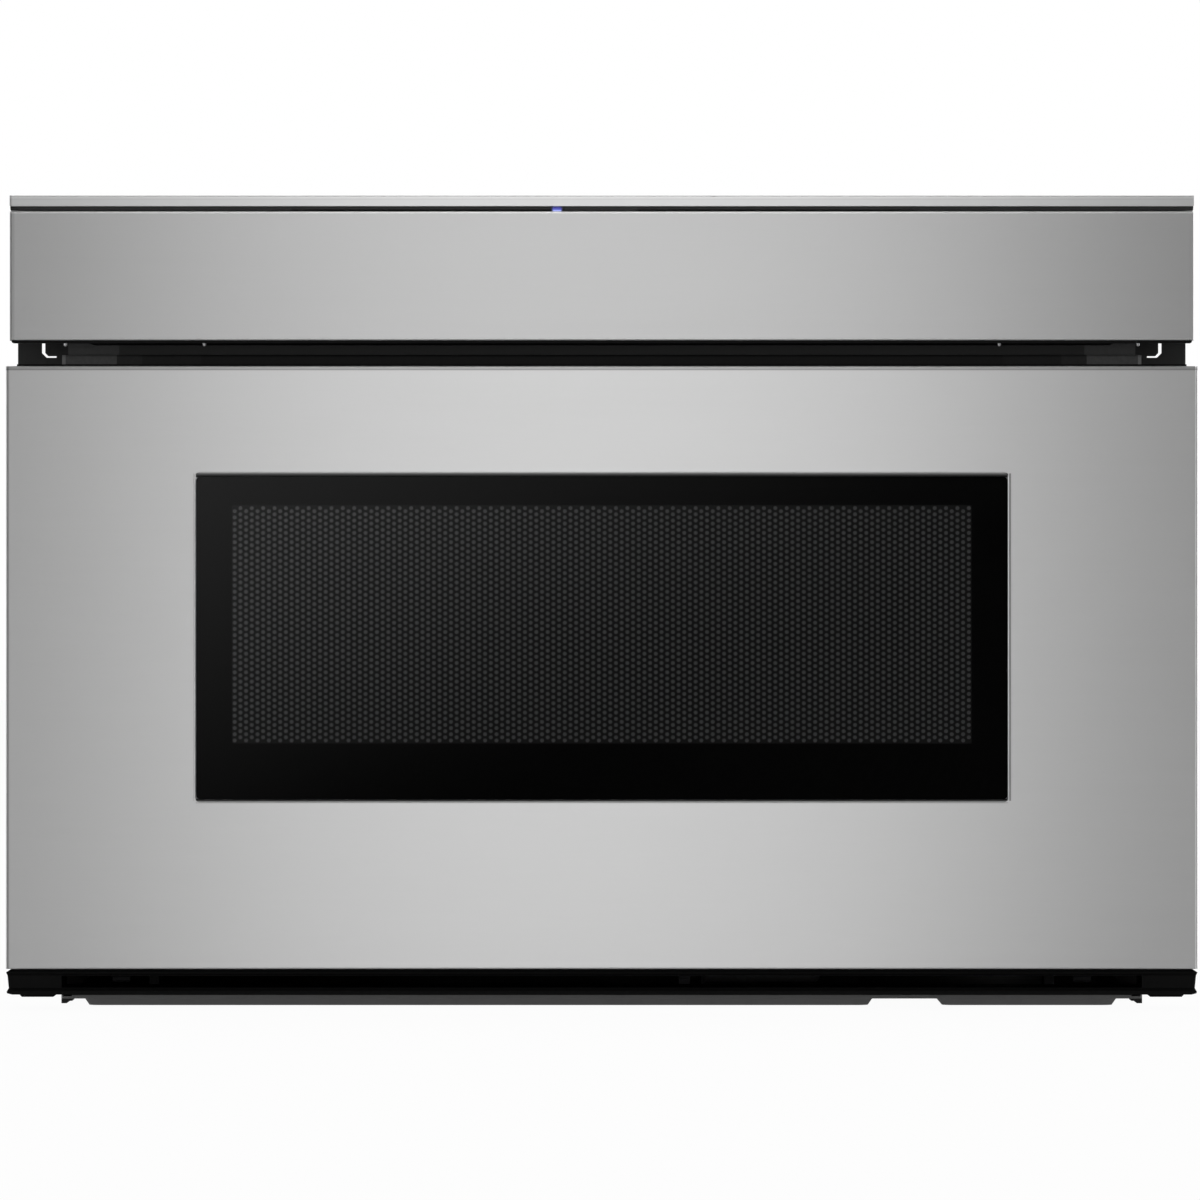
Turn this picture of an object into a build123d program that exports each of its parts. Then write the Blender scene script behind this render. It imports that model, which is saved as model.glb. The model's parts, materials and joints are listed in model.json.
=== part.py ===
from build123d import *
import os
from math import acos, cos, pi, radians, sin, tan

# Microwave drawer of the 24 inch class, for building in under a worktop.
# Millimetres, +Z up, -Y towards the user, +X to the user's right.
# The origin is the bottom centre of the whole, on the face that it rests on.

os.makedirs("parts", exist_ok=True)

# ---------------------------------------------------------------- driving dimensions

# Sheet and wall thicknesses
skin_t = 1.0
flange_t = 1.5
case_t = 0.8
base_t = 1.2
cavity_t = 0.8
bin_t = 0.8
panel_t = 1.2
plastic_t = 2.5
rail_t = 1.5

# Clearances and fits
moving_gap = 0.3  # between bodies that slide past each other
seal_gap = 0.4  # between the closed drawer and the flange
fit_gap = 0.05  # radial, for a shaft that turns in a hole
seat_gap = 0.02  # radial, for a pin or hub fixed in its seat

# Bin and cooking space
bin_width = 443.6
bin_height = 176.0
bin_depth = 430.8
bin_above_rails = 14.0
bin_side_gap = 10.2
bin_floor_gap = 10.0
bin_roof_gap = 17.0
bin_back_gap = 14.0
cavity_lip = 7.0
shelf_t = 5.0
rear_bay = 109.3  # from the cavity's back to the back plate

# Slides and drive
travel = 385.0
rail_height = 46.0
rail_depth = 11.0
rail_shorter_than_body = 96.3
rail_start = 4.0  # behind the flange's front face
middle_flange = 7.0
arm_t = 2.0
arm_height = 38.0
arm_above_rail = 4.0
rack_clear = 12.1  # from the cavity's wall to the rack
rack_width = 10.0
rack_back = 6.4
rack_module = 1.5
rack_pitch_above_arm = 3.0
pinion_teeth = 20
pinion_width = 9.0
drive_module = 1.0
drive_gear_teeth = 34
motor_gear_teeth = 14
gear_width = 6.0
shaft_r = 4.0
shaft_behind_flange = 54.0
gear_x = 40.0
drive_motor_r = 18.0
drive_motor_length = 60.0
drive_floor_gap = 3.2
motor_shaft_r = 2.5
shaft_seat_depth = 8.0

# Heights of the front, from the bottom up
pad_height = 3.6
vent_bottom = 7.6
vent_height = 12.7
vent_gap = 0.5
finger_gap = 11.7
carrier_lip = 1.3
bar_gap = 0.7
bar_height = 2.0
strip_height = 5.4

# Widths of the front, beyond the case on each side
flange_overlap = 22.2
door_overhang = 3.2  # beyond the flange
panel_overhang = 1.2  # beyond the flange

# Window
window_width = 413.0
window_height = 166.6
window_rise = 7.6  # above the bin's middle
window_corner_r = 1.8
window_lip = 1.8
glass_overlap = 8.0
glass_t = 4.0
screen_t = 0.6
ledge_overlap = 1.5
inner_view_inset = (11.5, 16.8)
inner_glass_t = 3.0
inner_glass_overlap = 5.0

# Drawer front
door_return = 20.3
door_frame_depth = 30.3
door_panel_inset = (11.9, 7.5)
choke_t = 8.4
choke_overlap = (30.0, 17.0)
choke_below_cavity = 2.0
choke_bin_gap = 0.4
top_rail_inset = 1.8
top_rail_height = 6.4

# Latches
latch_x = 202.0
latch_above_cavity = 18.2
latch_below_door_top = 14.5
hook_t = 3.0
hook_height = 10.0
hook_reach = 34.0

# Control panel
pivot_behind_front = 12.0
pivot_above_panel = 6.0
touch_drop = 6.7  # from the panel's top edge to the touch glass
touch_t = 2.0
swing_gap = 1.4  # between the panel's highest swing and the bar above it
motor_headroom = 6.0
panel_pin_r = 3.0
bracket_outside_case = 6.2
bracket_t = 2.0
bracket_margin = 2.0
sector_teeth = 48
panel_pinion_teeth = 12
panel_module = 1.0
sector_gap = 4.0
sector_width = 4.0
mesh_angle = 80.0  # where sector and pinion meet, from +Y towards +Z
sector_from = 22.0
sector_to = 93.0
panel_motor_r = 11.0
panel_motor_length = 20.0
panel_shaft_r = 2.0
motor_to_box = 3.5

# Microwave parts
cup_forward = 4.75  # of the cavity's middle
cup_r = 95.0
cup_height = 42.0
guide_width = 90.0
guide_reach = 93.0  # behind the cavity
magnetron_size = (80.0, 84.0, 90.0)
stirrer_r = 72.0
stirrer_shaft_r = 3.0
stirrer_motor_height = 24.0
case_headroom = 16.2
fan_r = 52.0
fan_tip_gap = 3.0
fan_shaft_r = 3.0

# Mounting holes and cord inlet
mount_hole_r = 2.5
mount_hole_outside_case = 14.2
mount_hole_low = 60.0
mount_hole_rise = 240.0
cord_r = 5.0
bushing_proud = 3.0  # cord bushing's head beyond the back plate

# ---------------------------------------------------------------- derived places

addendum = 0.8
dedendum = 1.15
pinion_r = rack_module * pinion_teeth / 2
drive_gear_r = drive_module * drive_gear_teeth / 2
motor_gear_r = drive_module * motor_gear_teeth / 2

# Depths, front to back
front_projection = skin_t + door_frame_depth + panel_t + choke_t + seal_gap
bin_reach = skin_t + door_frame_depth + panel_t + bin_depth
total_depth = bin_reach + bin_back_gap + rear_bay + skin_t + bushing_proud
front_y = -total_depth / 2
frame_back = front_y + skin_t + door_frame_depth
panel_face = frame_back + panel_t
flange_y = front_y + front_projection
flange_back = flange_y + flange_t
bin_back = front_y + bin_reach
cavity_back = bin_back + bin_back_gap
back_inner = cavity_back + rear_bay
back_y = back_inner + skin_t
glass_y = front_y + window_lip
screen_y = glass_y + glass_t
ledge_y = screen_y + screen_t
shaft_y = flange_y + shaft_behind_flange
motor_y = shaft_y + drive_gear_r + motor_gear_r
rail_y = flange_y + rail_start
rail_length = back_y - flange_y - rail_shorter_than_body

# Heights
base_top = pad_height + base_t
vent_top = vent_bottom + vent_height
door_bottom = vent_top + vent_gap
shaft_z = base_top + max(drive_gear_r + addendum * drive_module, drive_motor_r) + drive_floor_gap
rack_pitch_z = shaft_z + pinion_r
arm_bottom = rack_pitch_z - rack_pitch_above_arm
rail_bottom = arm_bottom - arm_above_rail
rail_top = rail_bottom + rail_height
bin_bottom = rail_top + bin_above_rails
bin_top = bin_bottom + bin_height
cavity_bottom = bin_bottom - bin_floor_gap
cavity_top = bin_top + bin_roof_gap
cavity_height = cavity_top - cavity_bottom
cavity_roof = cavity_top + cavity_t
guide_top = cavity_roof + cup_height
case_top = guide_top + 2 + stirrer_motor_height + case_headroom
choke_bottom = cavity_bottom - choke_below_cavity
choke_top = cavity_top + choke_overlap[1]
window_z = (bin_bottom + bin_top) / 2 + window_rise
latch_z = cavity_roof + cavity_lip + latch_above_cavity
door_top = latch_z + latch_below_door_top
carrier_bottom = door_top + finger_gap
panel_bottom = carrier_bottom + carrier_lip
pivot_z = panel_bottom + pivot_above_panel
sector_r = panel_module * sector_teeth / 2
panel_pinion_r = panel_module * panel_pinion_teeth / 2
mesh_distance = sector_r + panel_pinion_r
panel_motor_z = pivot_z + mesh_distance * sin(radians(mesh_angle))
bracket_top = panel_motor_z + panel_motor_r + bracket_margin
touch_top = bracket_top + motor_headroom + plastic_t + touch_t
panel_top = touch_top + touch_drop
bar_bottom = panel_top + bar_gap
strip_bottom = bar_bottom + bar_height
strip_top = strip_bottom + strip_height
flange_top = strip_top - skin_t
frame_bottom = door_bottom + skin_t + moving_gap
frame_top = door_top - skin_t - moving_gap

# The control panel's swing: its rear top edge just passes under the bar
pivot_y = front_y + pivot_behind_front
panel_motor_y = pivot_y + mesh_distance * cos(radians(mesh_angle))
swing_r = bar_bottom - pivot_z - swing_gap
touch_y = pivot_y + (swing_r**2 - (touch_top - pivot_z) ** 2) ** 0.5

# Half widths, from the bin outwards
bin_x = bin_width / 2
cavity_x = bin_x + bin_side_gap
rack_x = cavity_x + cavity_t + rack_clear
arm_x = rack_x + rack_width
inner_web_x = arm_x + arm_t
middle_web_x = inner_web_x + rail_depth + moving_gap
middle_flange_x = middle_web_x + middle_flange
case_x = middle_flange_x + moving_gap + rail_t
case_half = case_x + case_t
flange_x = case_half + flange_overlap
door_x = flange_x + door_overhang
panel_x = flange_x + panel_overhang
bracket_x = case_half + bracket_outside_case
sector_x = bracket_x + bracket_t + sector_gap
control_x = bracket_x - panel_motor_length - motor_to_box
mount_hole_x = case_half + mount_hole_outside_case
mount_hole_high = mount_hole_low + mount_hole_rise
choke_x = cavity_x + choke_overlap[0]
door_panel_x = door_x - skin_t - door_panel_inset[0] - moving_gap
inner_view = (window_width - 2 * inner_view_inset[0], window_height - 2 * inner_view_inset[1])

# ---------------------------------------------------------------- helpers

pressure_angle = radians(20)
tooth_share = 0.46  # share of the pitch that a tooth fills; the rest is backlash


def block(x, y, z, mode=Mode.ADD):
    """Add or cut a box that spans the three ranges given."""
    with Locations(((x[0] + x[1]) / 2, (y[0] + y[1]) / 2, (z[0] + z[1]) / 2)):
        Box(x[1] - x[0], y[1] - y[0], z[1] - z[0], mode=mode)


def rod_x(radius, x, y, z, mode=Mode.ADD):
    """Add or cut a cylinder along X from x[0] to x[1]."""
    with Locations(((x[0] + x[1]) / 2, y, z)):
        Cylinder(radius, x[1] - x[0], rotation=(0, 90, 0), mode=mode)


def rod_y(radius, x, y, z, mode=Mode.ADD):
    """Add or cut a cylinder along Y from y[0] to y[1]."""
    with Locations((x, (y[0] + y[1]) / 2, z)):
        Cylinder(radius, y[1] - y[0], rotation=(90, 0, 0), mode=mode)


def rod_z(radius, x, y, z, mode=Mode.ADD):
    """Add or cut a cylinder along Z from z[0] to z[1]."""
    with Locations((x, y, (z[0] + z[1]) / 2)):
        Cylinder(radius, z[1] - z[0], mode=mode)


def both(size):
    """The range from -size to +size."""
    return (-size, size)


def span(start, length):
    """The range that starts at start and is length long."""
    return (start, start + length)


def save(builder, name):
    """Label a finished piece and write it."""
    builder.part.label = name
    export_step(builder.part, f"parts/{name}.step")


def involute(angle):
    """The involute function of a pressure angle."""
    return tan(angle) - angle


def tooth_points(teeth, module, centre_angle):
    """Points of one tooth, root to root, as (radius, angle) pairs."""
    pitch = module * teeth / 2
    base = pitch * cos(pressure_angle)
    root = pitch - dedendum * module
    tip = pitch + addendum * module
    low = max(base, root)
    flank = []
    for step in range(5):
        radius = low + (tip - low) * step / 4
        turn = involute(acos(min(1, base / radius)))
        half = tooth_share * pi / teeth + involute(pressure_angle) - turn
        flank.append((radius, half))
    if root < base:
        flank.insert(0, (root, flank[0][1]))
    rising = [(radius, centre_angle - half) for radius, half in flank]
    falling = [(radius, centre_angle + half) for radius, half in reversed(flank)]
    return rising + falling


def gear_outline(teeth, module, centre, first_angle, count=None):
    """Outline of count teeth in turn; a full gear when count isn't given."""
    points = []
    for index in range(count or teeth):
        angle = first_angle + 2 * pi * index / teeth
        for radius, turn in tooth_points(teeth, module, angle):
            points.append((centre[0] + radius * cos(turn), centre[1] + radius * sin(turn)))
    return points


def rack_outline(start, end, space_y, pitch_z, back_z, module):
    """Outline of a rack with its teeth down and a tooth space at space_y."""
    pitch = pi * module
    half = tooth_share * pitch / 2
    tip_z = pitch_z - addendum * module
    root_z = pitch_z + dedendum * module
    at_tip = half - addendum * module * tan(pressure_angle)
    at_root = half + dedendum * module * tan(pressure_angle)
    points = [(start, root_z)]
    first = int((start - space_y + at_root) / pitch - 0.5) + 1
    centre = space_y + (first + 0.5) * pitch
    while centre + at_root < end:
        if centre - at_root > start:
            points += [(centre - at_root, root_z), (centre - at_tip, tip_z)]
            points += [(centre + at_tip, tip_z), (centre + at_root, root_z)]
        centre += pitch
    return points + [(end, root_z), (end, back_z), (start, back_z)]


# ---------------------------------------------------------------- chassis

corner_bracket_x = (case_half - 5.5, case_half)
corner_bracket_bottom = 1.2
corner_bracket_t = 1.2
pad_gap = (139.7, 172.7)
pad_left = (11.2 - case_half, pad_gap[0])
pad_right = (pad_gap[1], case_half - 12.4)
pad_from = flange_y + 4.0
pad_to = back_y - 60.0
pad_taper = 35.0
front_lip = 6.0

with BuildPart() as base_plate:
    block(both(case_x), (flange_back, back_inner), (pad_height, base_top))
    block(both(corner_bracket_x[0]), span(flange_back, base_t), span(pad_height, front_lip))
    for pad in (pad_left, pad_right):
        with BuildSketch(Plane.XY.offset(pad_height)):
            with Locations(((pad[0] + pad[1]) / 2, (pad_from + pad_to) / 2)):
                RectangleRounded(pad[1] - pad[0], pad_to - pad_from, 8)
        extrude(amount=-pad_height, taper=pad_taper)
        with BuildSketch(Plane.XY.offset(base_top)):
            with Locations(((pad[0] + pad[1]) / 2, (pad_from + pad_to) / 2)):
                RectangleRounded(pad[1] - pad[0] - 2 * base_t, pad_to - pad_from - 2 * base_t, 7)
        extrude(amount=-pad_height, taper=pad_taper, mode=Mode.SUBTRACT)
save(base_plate, "base_plate")

with BuildPart() as base_brackets:
    with BuildSketch(Plane.XZ.offset(-flange_back)):
        with BuildLine():
            Polyline(
                (corner_bracket_x[0], pad_height),
                (corner_bracket_x[0], corner_bracket_bottom + 2.0),
                (corner_bracket_x[0] + 2.8, corner_bracket_bottom),
                (corner_bracket_x[1], corner_bracket_bottom),
                (corner_bracket_x[1], pad_height),
                close=True,
            )
        make_face()
    extrude(amount=-corner_bracket_t)
    block(corner_bracket_x, span(flange_back, 18), (pad_height - corner_bracket_t, pad_height))
    mirror(about=Plane.YZ)
save(base_brackets, "base_brackets")

fan_x = case_x - 127.0
fan_z = cavity_top - 47.0
louvre_pitch = 9.0
louvre_size = (3.5, 60.0)

with BuildPart() as outer_case:
    block(both(case_half), (flange_back, back_y), (pad_height, case_top))
    block(both(case_x), (flange_back, back_y), (pad_height, case_top - case_t), mode=Mode.SUBTRACT)
    with BuildSketch(Plane.XY.offset(case_top)):
        with Locations((fan_x, back_y - 70)):
            with GridLocations(louvre_pitch, 1, 10, 1):
                SlotOverall(louvre_size[1], louvre_size[0], rotation=90)
    extrude(amount=-case_t, mode=Mode.SUBTRACT)
    with BuildSketch(Plane.YZ.offset(case_x)):
        with Locations((back_y - 75, fan_z)):
            with GridLocations(louvre_pitch, 1, 10, 1):
                SlotOverall(louvre_size[1], louvre_size[0], rotation=90)
    extrude(amount=case_t, mode=Mode.SUBTRACT)
save(outer_case, "outer_case")

cord_x = case_x - 47.0
cord_z = base_top + 55.2
bushing_neck_r = 8.0
bushing_head_r = 11.0
grille_r = fan_r - 2.0
side_vent_x = 97.0 - case_x
side_vent_z = cord_z

with BuildPart() as back_plate:
    block(both(case_x), (back_inner, back_y), (base_top, case_top - case_t))
    rod_y(bushing_neck_r + seat_gap, cord_x, (back_inner, back_y), cord_z, Mode.SUBTRACT)
    with BuildSketch(Plane.XZ.offset(-back_y)):
        for row in range(-5, 6):
            reach = 2 * (grille_r**2 - (row * louvre_pitch) ** 2) ** 0.5
            with Locations((fan_x, fan_z + row * louvre_pitch)):
                SlotOverall(reach, louvre_size[0])
    extrude(amount=skin_t, mode=Mode.SUBTRACT)
    with BuildSketch(Plane.XZ.offset(-back_y)):
        with Locations((side_vent_x, side_vent_z)):
            with GridLocations(1, louvre_pitch, 1, 7):
                SlotOverall(louvre_size[1], louvre_size[0])
    extrude(amount=skin_t, mode=Mode.SUBTRACT)
save(back_plate, "back_plate")

with BuildPart() as cord_bushing:
    rod_y(bushing_neck_r, cord_x, (back_inner - 3, back_y), cord_z)
    rod_y(bushing_head_r, cord_x, (back_y, back_y + bushing_proud), cord_z)
    fillet(cord_bushing.edges().group_by(Axis.Y)[-1], 1.2)
    rod_y(cord_r, cord_x, (back_inner - 3, back_y + bushing_proud), cord_z, Mode.SUBTRACT)
save(cord_bushing, "cord_bushing")

arm_window_x = (rack_x - 3.0, case_x - 0.5)
arm_window_z = (rail_bottom - 1.0, rail_top + 1.0)
duct_x = case_half - 2.8
duct_z = (vent_bottom + 3.5, vent_top - 3.1)
slot_outer_x = case_half + 9.9
slot_inner_x = case_half + 2.4
slot_w = 1.7
slot_foot_w = 0.8
slot_bend_r = 2.4
slot_bottom = carrier_bottom - 6.2
slot_top = carrier_bottom + 10.8
latch_slot = (10.0, 14.0)

with BuildPart() as front_flange:
    with BuildSketch(Plane.XZ.offset(-flange_y)):
        with Locations((0, (vent_bottom + flange_top) / 2)):
            RectangleRounded(2 * flange_x, flange_top - vent_bottom, 2)
        with Locations((0, cavity_bottom + cavity_height / 2)):
            RectangleRounded(2 * cavity_x, cavity_height, 4, mode=Mode.SUBTRACT)
        with Locations((0, sum(duct_z) / 2)):
            Rectangle(2 * duct_x, duct_z[1] - duct_z[0], mode=Mode.SUBTRACT)
        for side in (-1, 1):
            with Locations((side * sum(arm_window_x) / 2, sum(arm_window_z) / 2)):
                Rectangle(
                    arm_window_x[1] - arm_window_x[0],
                    arm_window_z[1] - arm_window_z[0],
                    mode=Mode.SUBTRACT,
                )
            with Locations((side * latch_x, latch_z)):
                Rectangle(*latch_slot, mode=Mode.SUBTRACT)
            with Locations(
                (side * mount_hole_x, mount_hole_low), (side * mount_hole_x, mount_hole_high)
            ):
                Circle(mount_hole_r, mode=Mode.SUBTRACT)
    extrude(amount=-flange_t)
    for side in (-1, 1):
        outer = side * slot_outer_x
        inner = side * (slot_outer_x - slot_w)
        bend = slot_bend_r - slot_foot_w
        with BuildSketch(Plane.XZ.offset(-flange_y)):
            with BuildLine():
                Polyline(
                    (outer, slot_bottom + slot_bend_r),
                    (outer, slot_top),
                    (inner, slot_top),
                    (inner, slot_bottom + slot_foot_w + bend),
                )
                Line((outer, slot_bottom + slot_bend_r), (outer - side * slot_bend_r, slot_bottom))
                Polyline(
                    (outer - side * slot_bend_r, slot_bottom),
                    (side * slot_inner_x, slot_bottom),
                    (side * slot_inner_x, slot_bottom + slot_foot_w),
                    (inner - side * bend, slot_bottom + slot_foot_w),
                    (inner, slot_bottom + slot_foot_w + bend),
                )
            make_face()
        extrude(amount=-flange_t, mode=Mode.SUBTRACT)
save(front_flange, "front_flange")

trim_x = panel_x
trim_floor = 25.0

with BuildPart() as top_trim:
    block(both(trim_x), (front_y, flange_back), (strip_bottom, strip_top))
    fillet(top_trim.edges().filter_by(Axis.X).sort_by(Axis.Y)[:2].sort_by(Axis.Z)[-1], 0.8)
    block(
        both(trim_x),
        (front_y + skin_t, flange_back),
        (strip_bottom + skin_t, strip_top - skin_t),
        Mode.SUBTRACT,
    )
    block(
        both(trim_x), (front_y + trim_floor, flange_back), span(strip_bottom, skin_t), Mode.SUBTRACT
    )
save(top_trim, "top_trim")

led_x = -22.8
led_width = 5.6
led_depth = 7.0
bar_y = front_y + 4.3
bar_x = trim_x
bar_recesses = ((-bar_x, -158.0), (led_x + 4.0, 18.0), (158.0, bar_x))

with BuildPart() as indicator_bar:
    block(both(bar_x), (bar_y, flange_y), (bar_bottom, strip_bottom))
    fillet(indicator_bar.edges().filter_by(Axis.X).sort_by(Axis.Y)[:2].sort_by(Axis.Z)[0], 0.6)
    block(
        span(led_x - led_width / 2, led_width),
        span(bar_y, led_depth),
        (bar_bottom, strip_bottom),
        Mode.SUBTRACT,
    )
    for recess in bar_recesses:
        block(recess, span(bar_y, 1.2), span(bar_bottom, 0.9), Mode.SUBTRACT)
save(indicator_bar, "indicator_bar")

with BuildPart() as led_lens:
    block(
        span(led_x - led_width / 2 + seat_gap, led_width - 2 * seat_gap),
        (bar_y - 0.6, bar_y + led_depth - seat_gap),
        (bar_bottom - 0.3, strip_bottom),
    )
    fillet(led_lens.edges().filter_by(Axis.X).sort_by(Axis.Y)[:2].sort_by(Axis.Z)[0], 0.5)
save(led_lens, "led_lens")

vent_front = front_y + 2.3
vent_lip = 2.9
vent_foot = 3.3
vent_recess = 1.2
end_recess = 1.3
tab_x = (case_half + 0.4, case_half + 19.2)
tab_drop = 1.4

with BuildPart() as lower_vent:
    with BuildSketch(Plane.YZ.offset(-door_x)):
        with BuildLine():
            Polyline(
                (vent_front + 0.8, vent_top),
                (vent_front, vent_top - 1.2),
                (vent_front, vent_top - 1.8),
                (vent_front + vent_recess, vent_top - vent_lip),
                (vent_front + vent_recess, vent_bottom + vent_foot),
                (vent_front, vent_bottom + 1.8),
                (vent_front, vent_bottom + 0.8),
                (vent_front + 0.8, vent_bottom),
                (flange_y, vent_bottom),
                (flange_y, vent_top),
                close=True,
            )
        make_face()
    extrude(amount=2 * door_x)
    with BuildSketch(Plane.XZ.offset(-vent_front)):
        with BuildLine():
            Polyline(
                (0, vent_bottom),
                (door_x - 3.0, vent_bottom),
                (door_x - 0.5, vent_bottom + 0.7),
                (door_x - 0.3, vent_bottom + 1.6),
                (door_x - end_recess, vent_bottom + vent_foot),
                (door_x - end_recess / 2, vent_top - vent_lip),
                (door_x, vent_top - 1.3),
                (door_x - 2.0, vent_top),
                (0, vent_top),
                close=True,
            )
        make_face()
        mirror(about=Plane.YZ)
    extrude(amount=-(flange_y - vent_front), mode=Mode.INTERSECT)
    block(both(duct_x), (vent_front, flange_y), duct_z, Mode.SUBTRACT)
    for side in (-1, 1):
        pocket = sorted((side * (duct_x + plastic_t), side * (door_x - 2 * plastic_t)))
        block(
            pocket,
            (vent_front + 2 * plastic_t, flange_y),
            (vent_bottom + plastic_t, vent_top - plastic_t),
            Mode.SUBTRACT,
        )
        with BuildSketch(Plane.XZ.offset(-vent_front - 6)):
            with BuildLine():
                Polyline(
                    (side * tab_x[0], vent_bottom),
                    (side * (tab_x[0] + tab_drop), vent_bottom - tab_drop),
                    (side * (tab_x[1] - tab_drop), vent_bottom - tab_drop),
                    (side * tab_x[1], vent_bottom),
                    close=True,
                )
            make_face()
        extrude(amount=-24)
save(lower_vent, "lower_vent")

lamp_y = cavity_back - 82.0
lamp_z = cavity_top - 37.0
cup_y = (flange_back + cavity_back) / 2 - cup_forward

with BuildPart() as cavity_shell:
    block(
        both(cavity_x + cavity_t),
        (flange_back, cavity_back + cavity_t),
        (cavity_bottom - cavity_t, cavity_roof),
    )
    block(
        both(cavity_x + cavity_t + cavity_lip),
        span(flange_back, cavity_t),
        (cavity_bottom - cavity_t - cavity_lip, cavity_roof + cavity_lip),
    )
    block(both(cavity_x), (flange_back, cavity_back), (cavity_bottom, cavity_top), Mode.SUBTRACT)
    rod_z(cup_r, 0, cup_y, (cavity_top, cavity_roof), Mode.SUBTRACT)
    with BuildSketch(Plane.YZ.offset(cavity_x)):
        with Locations((lamp_y, lamp_z)):
            with GridLocations(1, 6, 1, 5):
                SlotOverall(28, 2.5)
    extrude(amount=cavity_t, mode=Mode.SUBTRACT)
save(cavity_shell, "cavity_shell")

mica_t = 0.8
mica_margin = 8.0

with BuildPart() as waveguide_cover:
    with BuildSketch(Plane.XY.offset(cavity_top - mica_t)):
        with Locations((0, cup_y)):
            RectangleRounded(2 * (cup_r + mica_margin), 2 * (cup_r + mica_margin), 12)
    extrude(amount=mica_t)
save(waveguide_cover, "waveguide_cover")

guide_end = cavity_back + guide_reach
magnetron_y = guide_end - magnetron_size[1] / 2 - 1
stub_r = 7.5

with BuildPart() as waveguide:
    with BuildSketch(Plane.XY.offset(cavity_roof)):
        with Locations((0, cup_y)):
            Circle(cup_r + 1)
        with Locations((0, (cup_y + guide_end) / 2)):
            Rectangle(guide_width, guide_end - cup_y)
    extrude(amount=cup_height)
    with BuildSketch(Plane.XY.offset(cavity_roof + 1)):
        with Locations((0, cup_y)):
            Circle(cup_r)
        with Locations((0, (cup_y + guide_end - 1) / 2)):
            Rectangle(guide_width - 2, guide_end - 1 - cup_y)
    extrude(amount=cup_height - 2, mode=Mode.SUBTRACT)
    rod_z(cup_r, 0, cup_y, span(cavity_roof, 1), Mode.SUBTRACT)
    rod_z(stirrer_shaft_r + fit_gap, 0, cup_y, (guide_top - 1, guide_top), Mode.SUBTRACT)
    rod_z(stub_r + 2, 0, magnetron_y, span(cavity_roof, 1), Mode.SUBTRACT)
save(waveguide, "waveguide")

fin_count = 6

with BuildPart() as magnetron:
    mag_x = magnetron_size[0] / 2
    mag_y = (magnetron_y - magnetron_size[1] / 2, magnetron_y + magnetron_size[1] / 2)
    mag_z = (cavity_roof - magnetron_size[2], cavity_roof)
    block(both(mag_x), mag_y, mag_z)
    block(both(mag_x - 1.5), mag_y, (mag_z[0] + 22, mag_z[1] - 18), Mode.SUBTRACT)
    rod_z(19, 0, magnetron_y, mag_z)
    rod_z(stub_r, 0, magnetron_y, span(cavity_roof, 24))
    for fin in range(fin_count):
        fin_z = mag_z[0] + 28 + fin * (mag_z[1] - mag_z[0] - 50) / (fin_count - 1)
        block(both(mag_x - 1), (mag_y[0] + 1, mag_y[1] - 1), span(fin_z, 0.8))
save(magnetron, "magnetron")

stirrer_z = cavity_roof + 17.0
motor_side = 42.0

with BuildPart() as stirrer_motor:
    with BuildSketch(Plane.XY.offset(guide_top)):
        with Locations((0, cup_y)):
            RectangleRounded(motor_side, motor_side, 6)
            RectangleRounded(motor_side + 18, 14, 6)
            Circle(stirrer_shaft_r + fit_gap, mode=Mode.SUBTRACT)
    extrude(amount=2)
    with BuildSketch(Plane.XY.offset(guide_top + 2)):
        with Locations((0, cup_y)):
            RectangleRounded(motor_side, motor_side, 6)
    extrude(amount=stirrer_motor_height)
    rod_z(stirrer_shaft_r + fit_gap, 0, cup_y, span(guide_top, 12), Mode.SUBTRACT)
save(stirrer_motor, "stirrer_motor")

with BuildPart() as stirrer:
    rod_z(stirrer_shaft_r, 0, cup_y, (stirrer_z - 4, guide_top + 10))
    rod_z(9, 0, cup_y, (stirrer_z - 4, stirrer_z + 6))
    with BuildSketch(Plane.XY.offset(stirrer_z)):
        with Locations((0, cup_y)):
            Circle(stirrer_r * 0.55)
            with PolarLocations(stirrer_r * 0.68, 3):
                Rectangle(stirrer_r * 0.6, 30)
            with PolarLocations(stirrer_r * 0.55, 3, start_angle=60):
                Circle(9, mode=Mode.SUBTRACT)
    extrude(amount=1.5)
save(stirrer, "stirrer")

shroud_depth = 29.0
shroud_side = 2 * (fan_r + fan_tip_gap) + 8
shroud_y = back_inner - shroud_depth
spider_t = 3.0
fan_motor_r = 21.0
fan_motor_depth = 34.0
fan_motor_ear = 27.0
fan_blade_depth = 16.0
fan_blade_y = shroud_y + 8.0

with BuildPart() as fan_shroud:
    with BuildSketch(Plane.XZ.offset(-back_inner)):
        with Locations((fan_x, fan_z)):
            RectangleRounded(shroud_side, shroud_side, 10)
            Circle(fan_r + fan_tip_gap, mode=Mode.SUBTRACT)
    extrude(amount=shroud_depth)
    with BuildSketch(Plane.XZ.offset(-shroud_y - spider_t)):
        with Locations((fan_x, fan_z)):
            Circle(fan_motor_r)
            Rectangle(2 * (fan_r + fan_tip_gap) + 2, 9)
            Rectangle(9, 2 * (fan_r + fan_tip_gap) + 2)
            Circle(fan_shaft_r + 2, mode=Mode.SUBTRACT)
    extrude(amount=spider_t)
save(fan_shroud, "fan_shroud")

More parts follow.
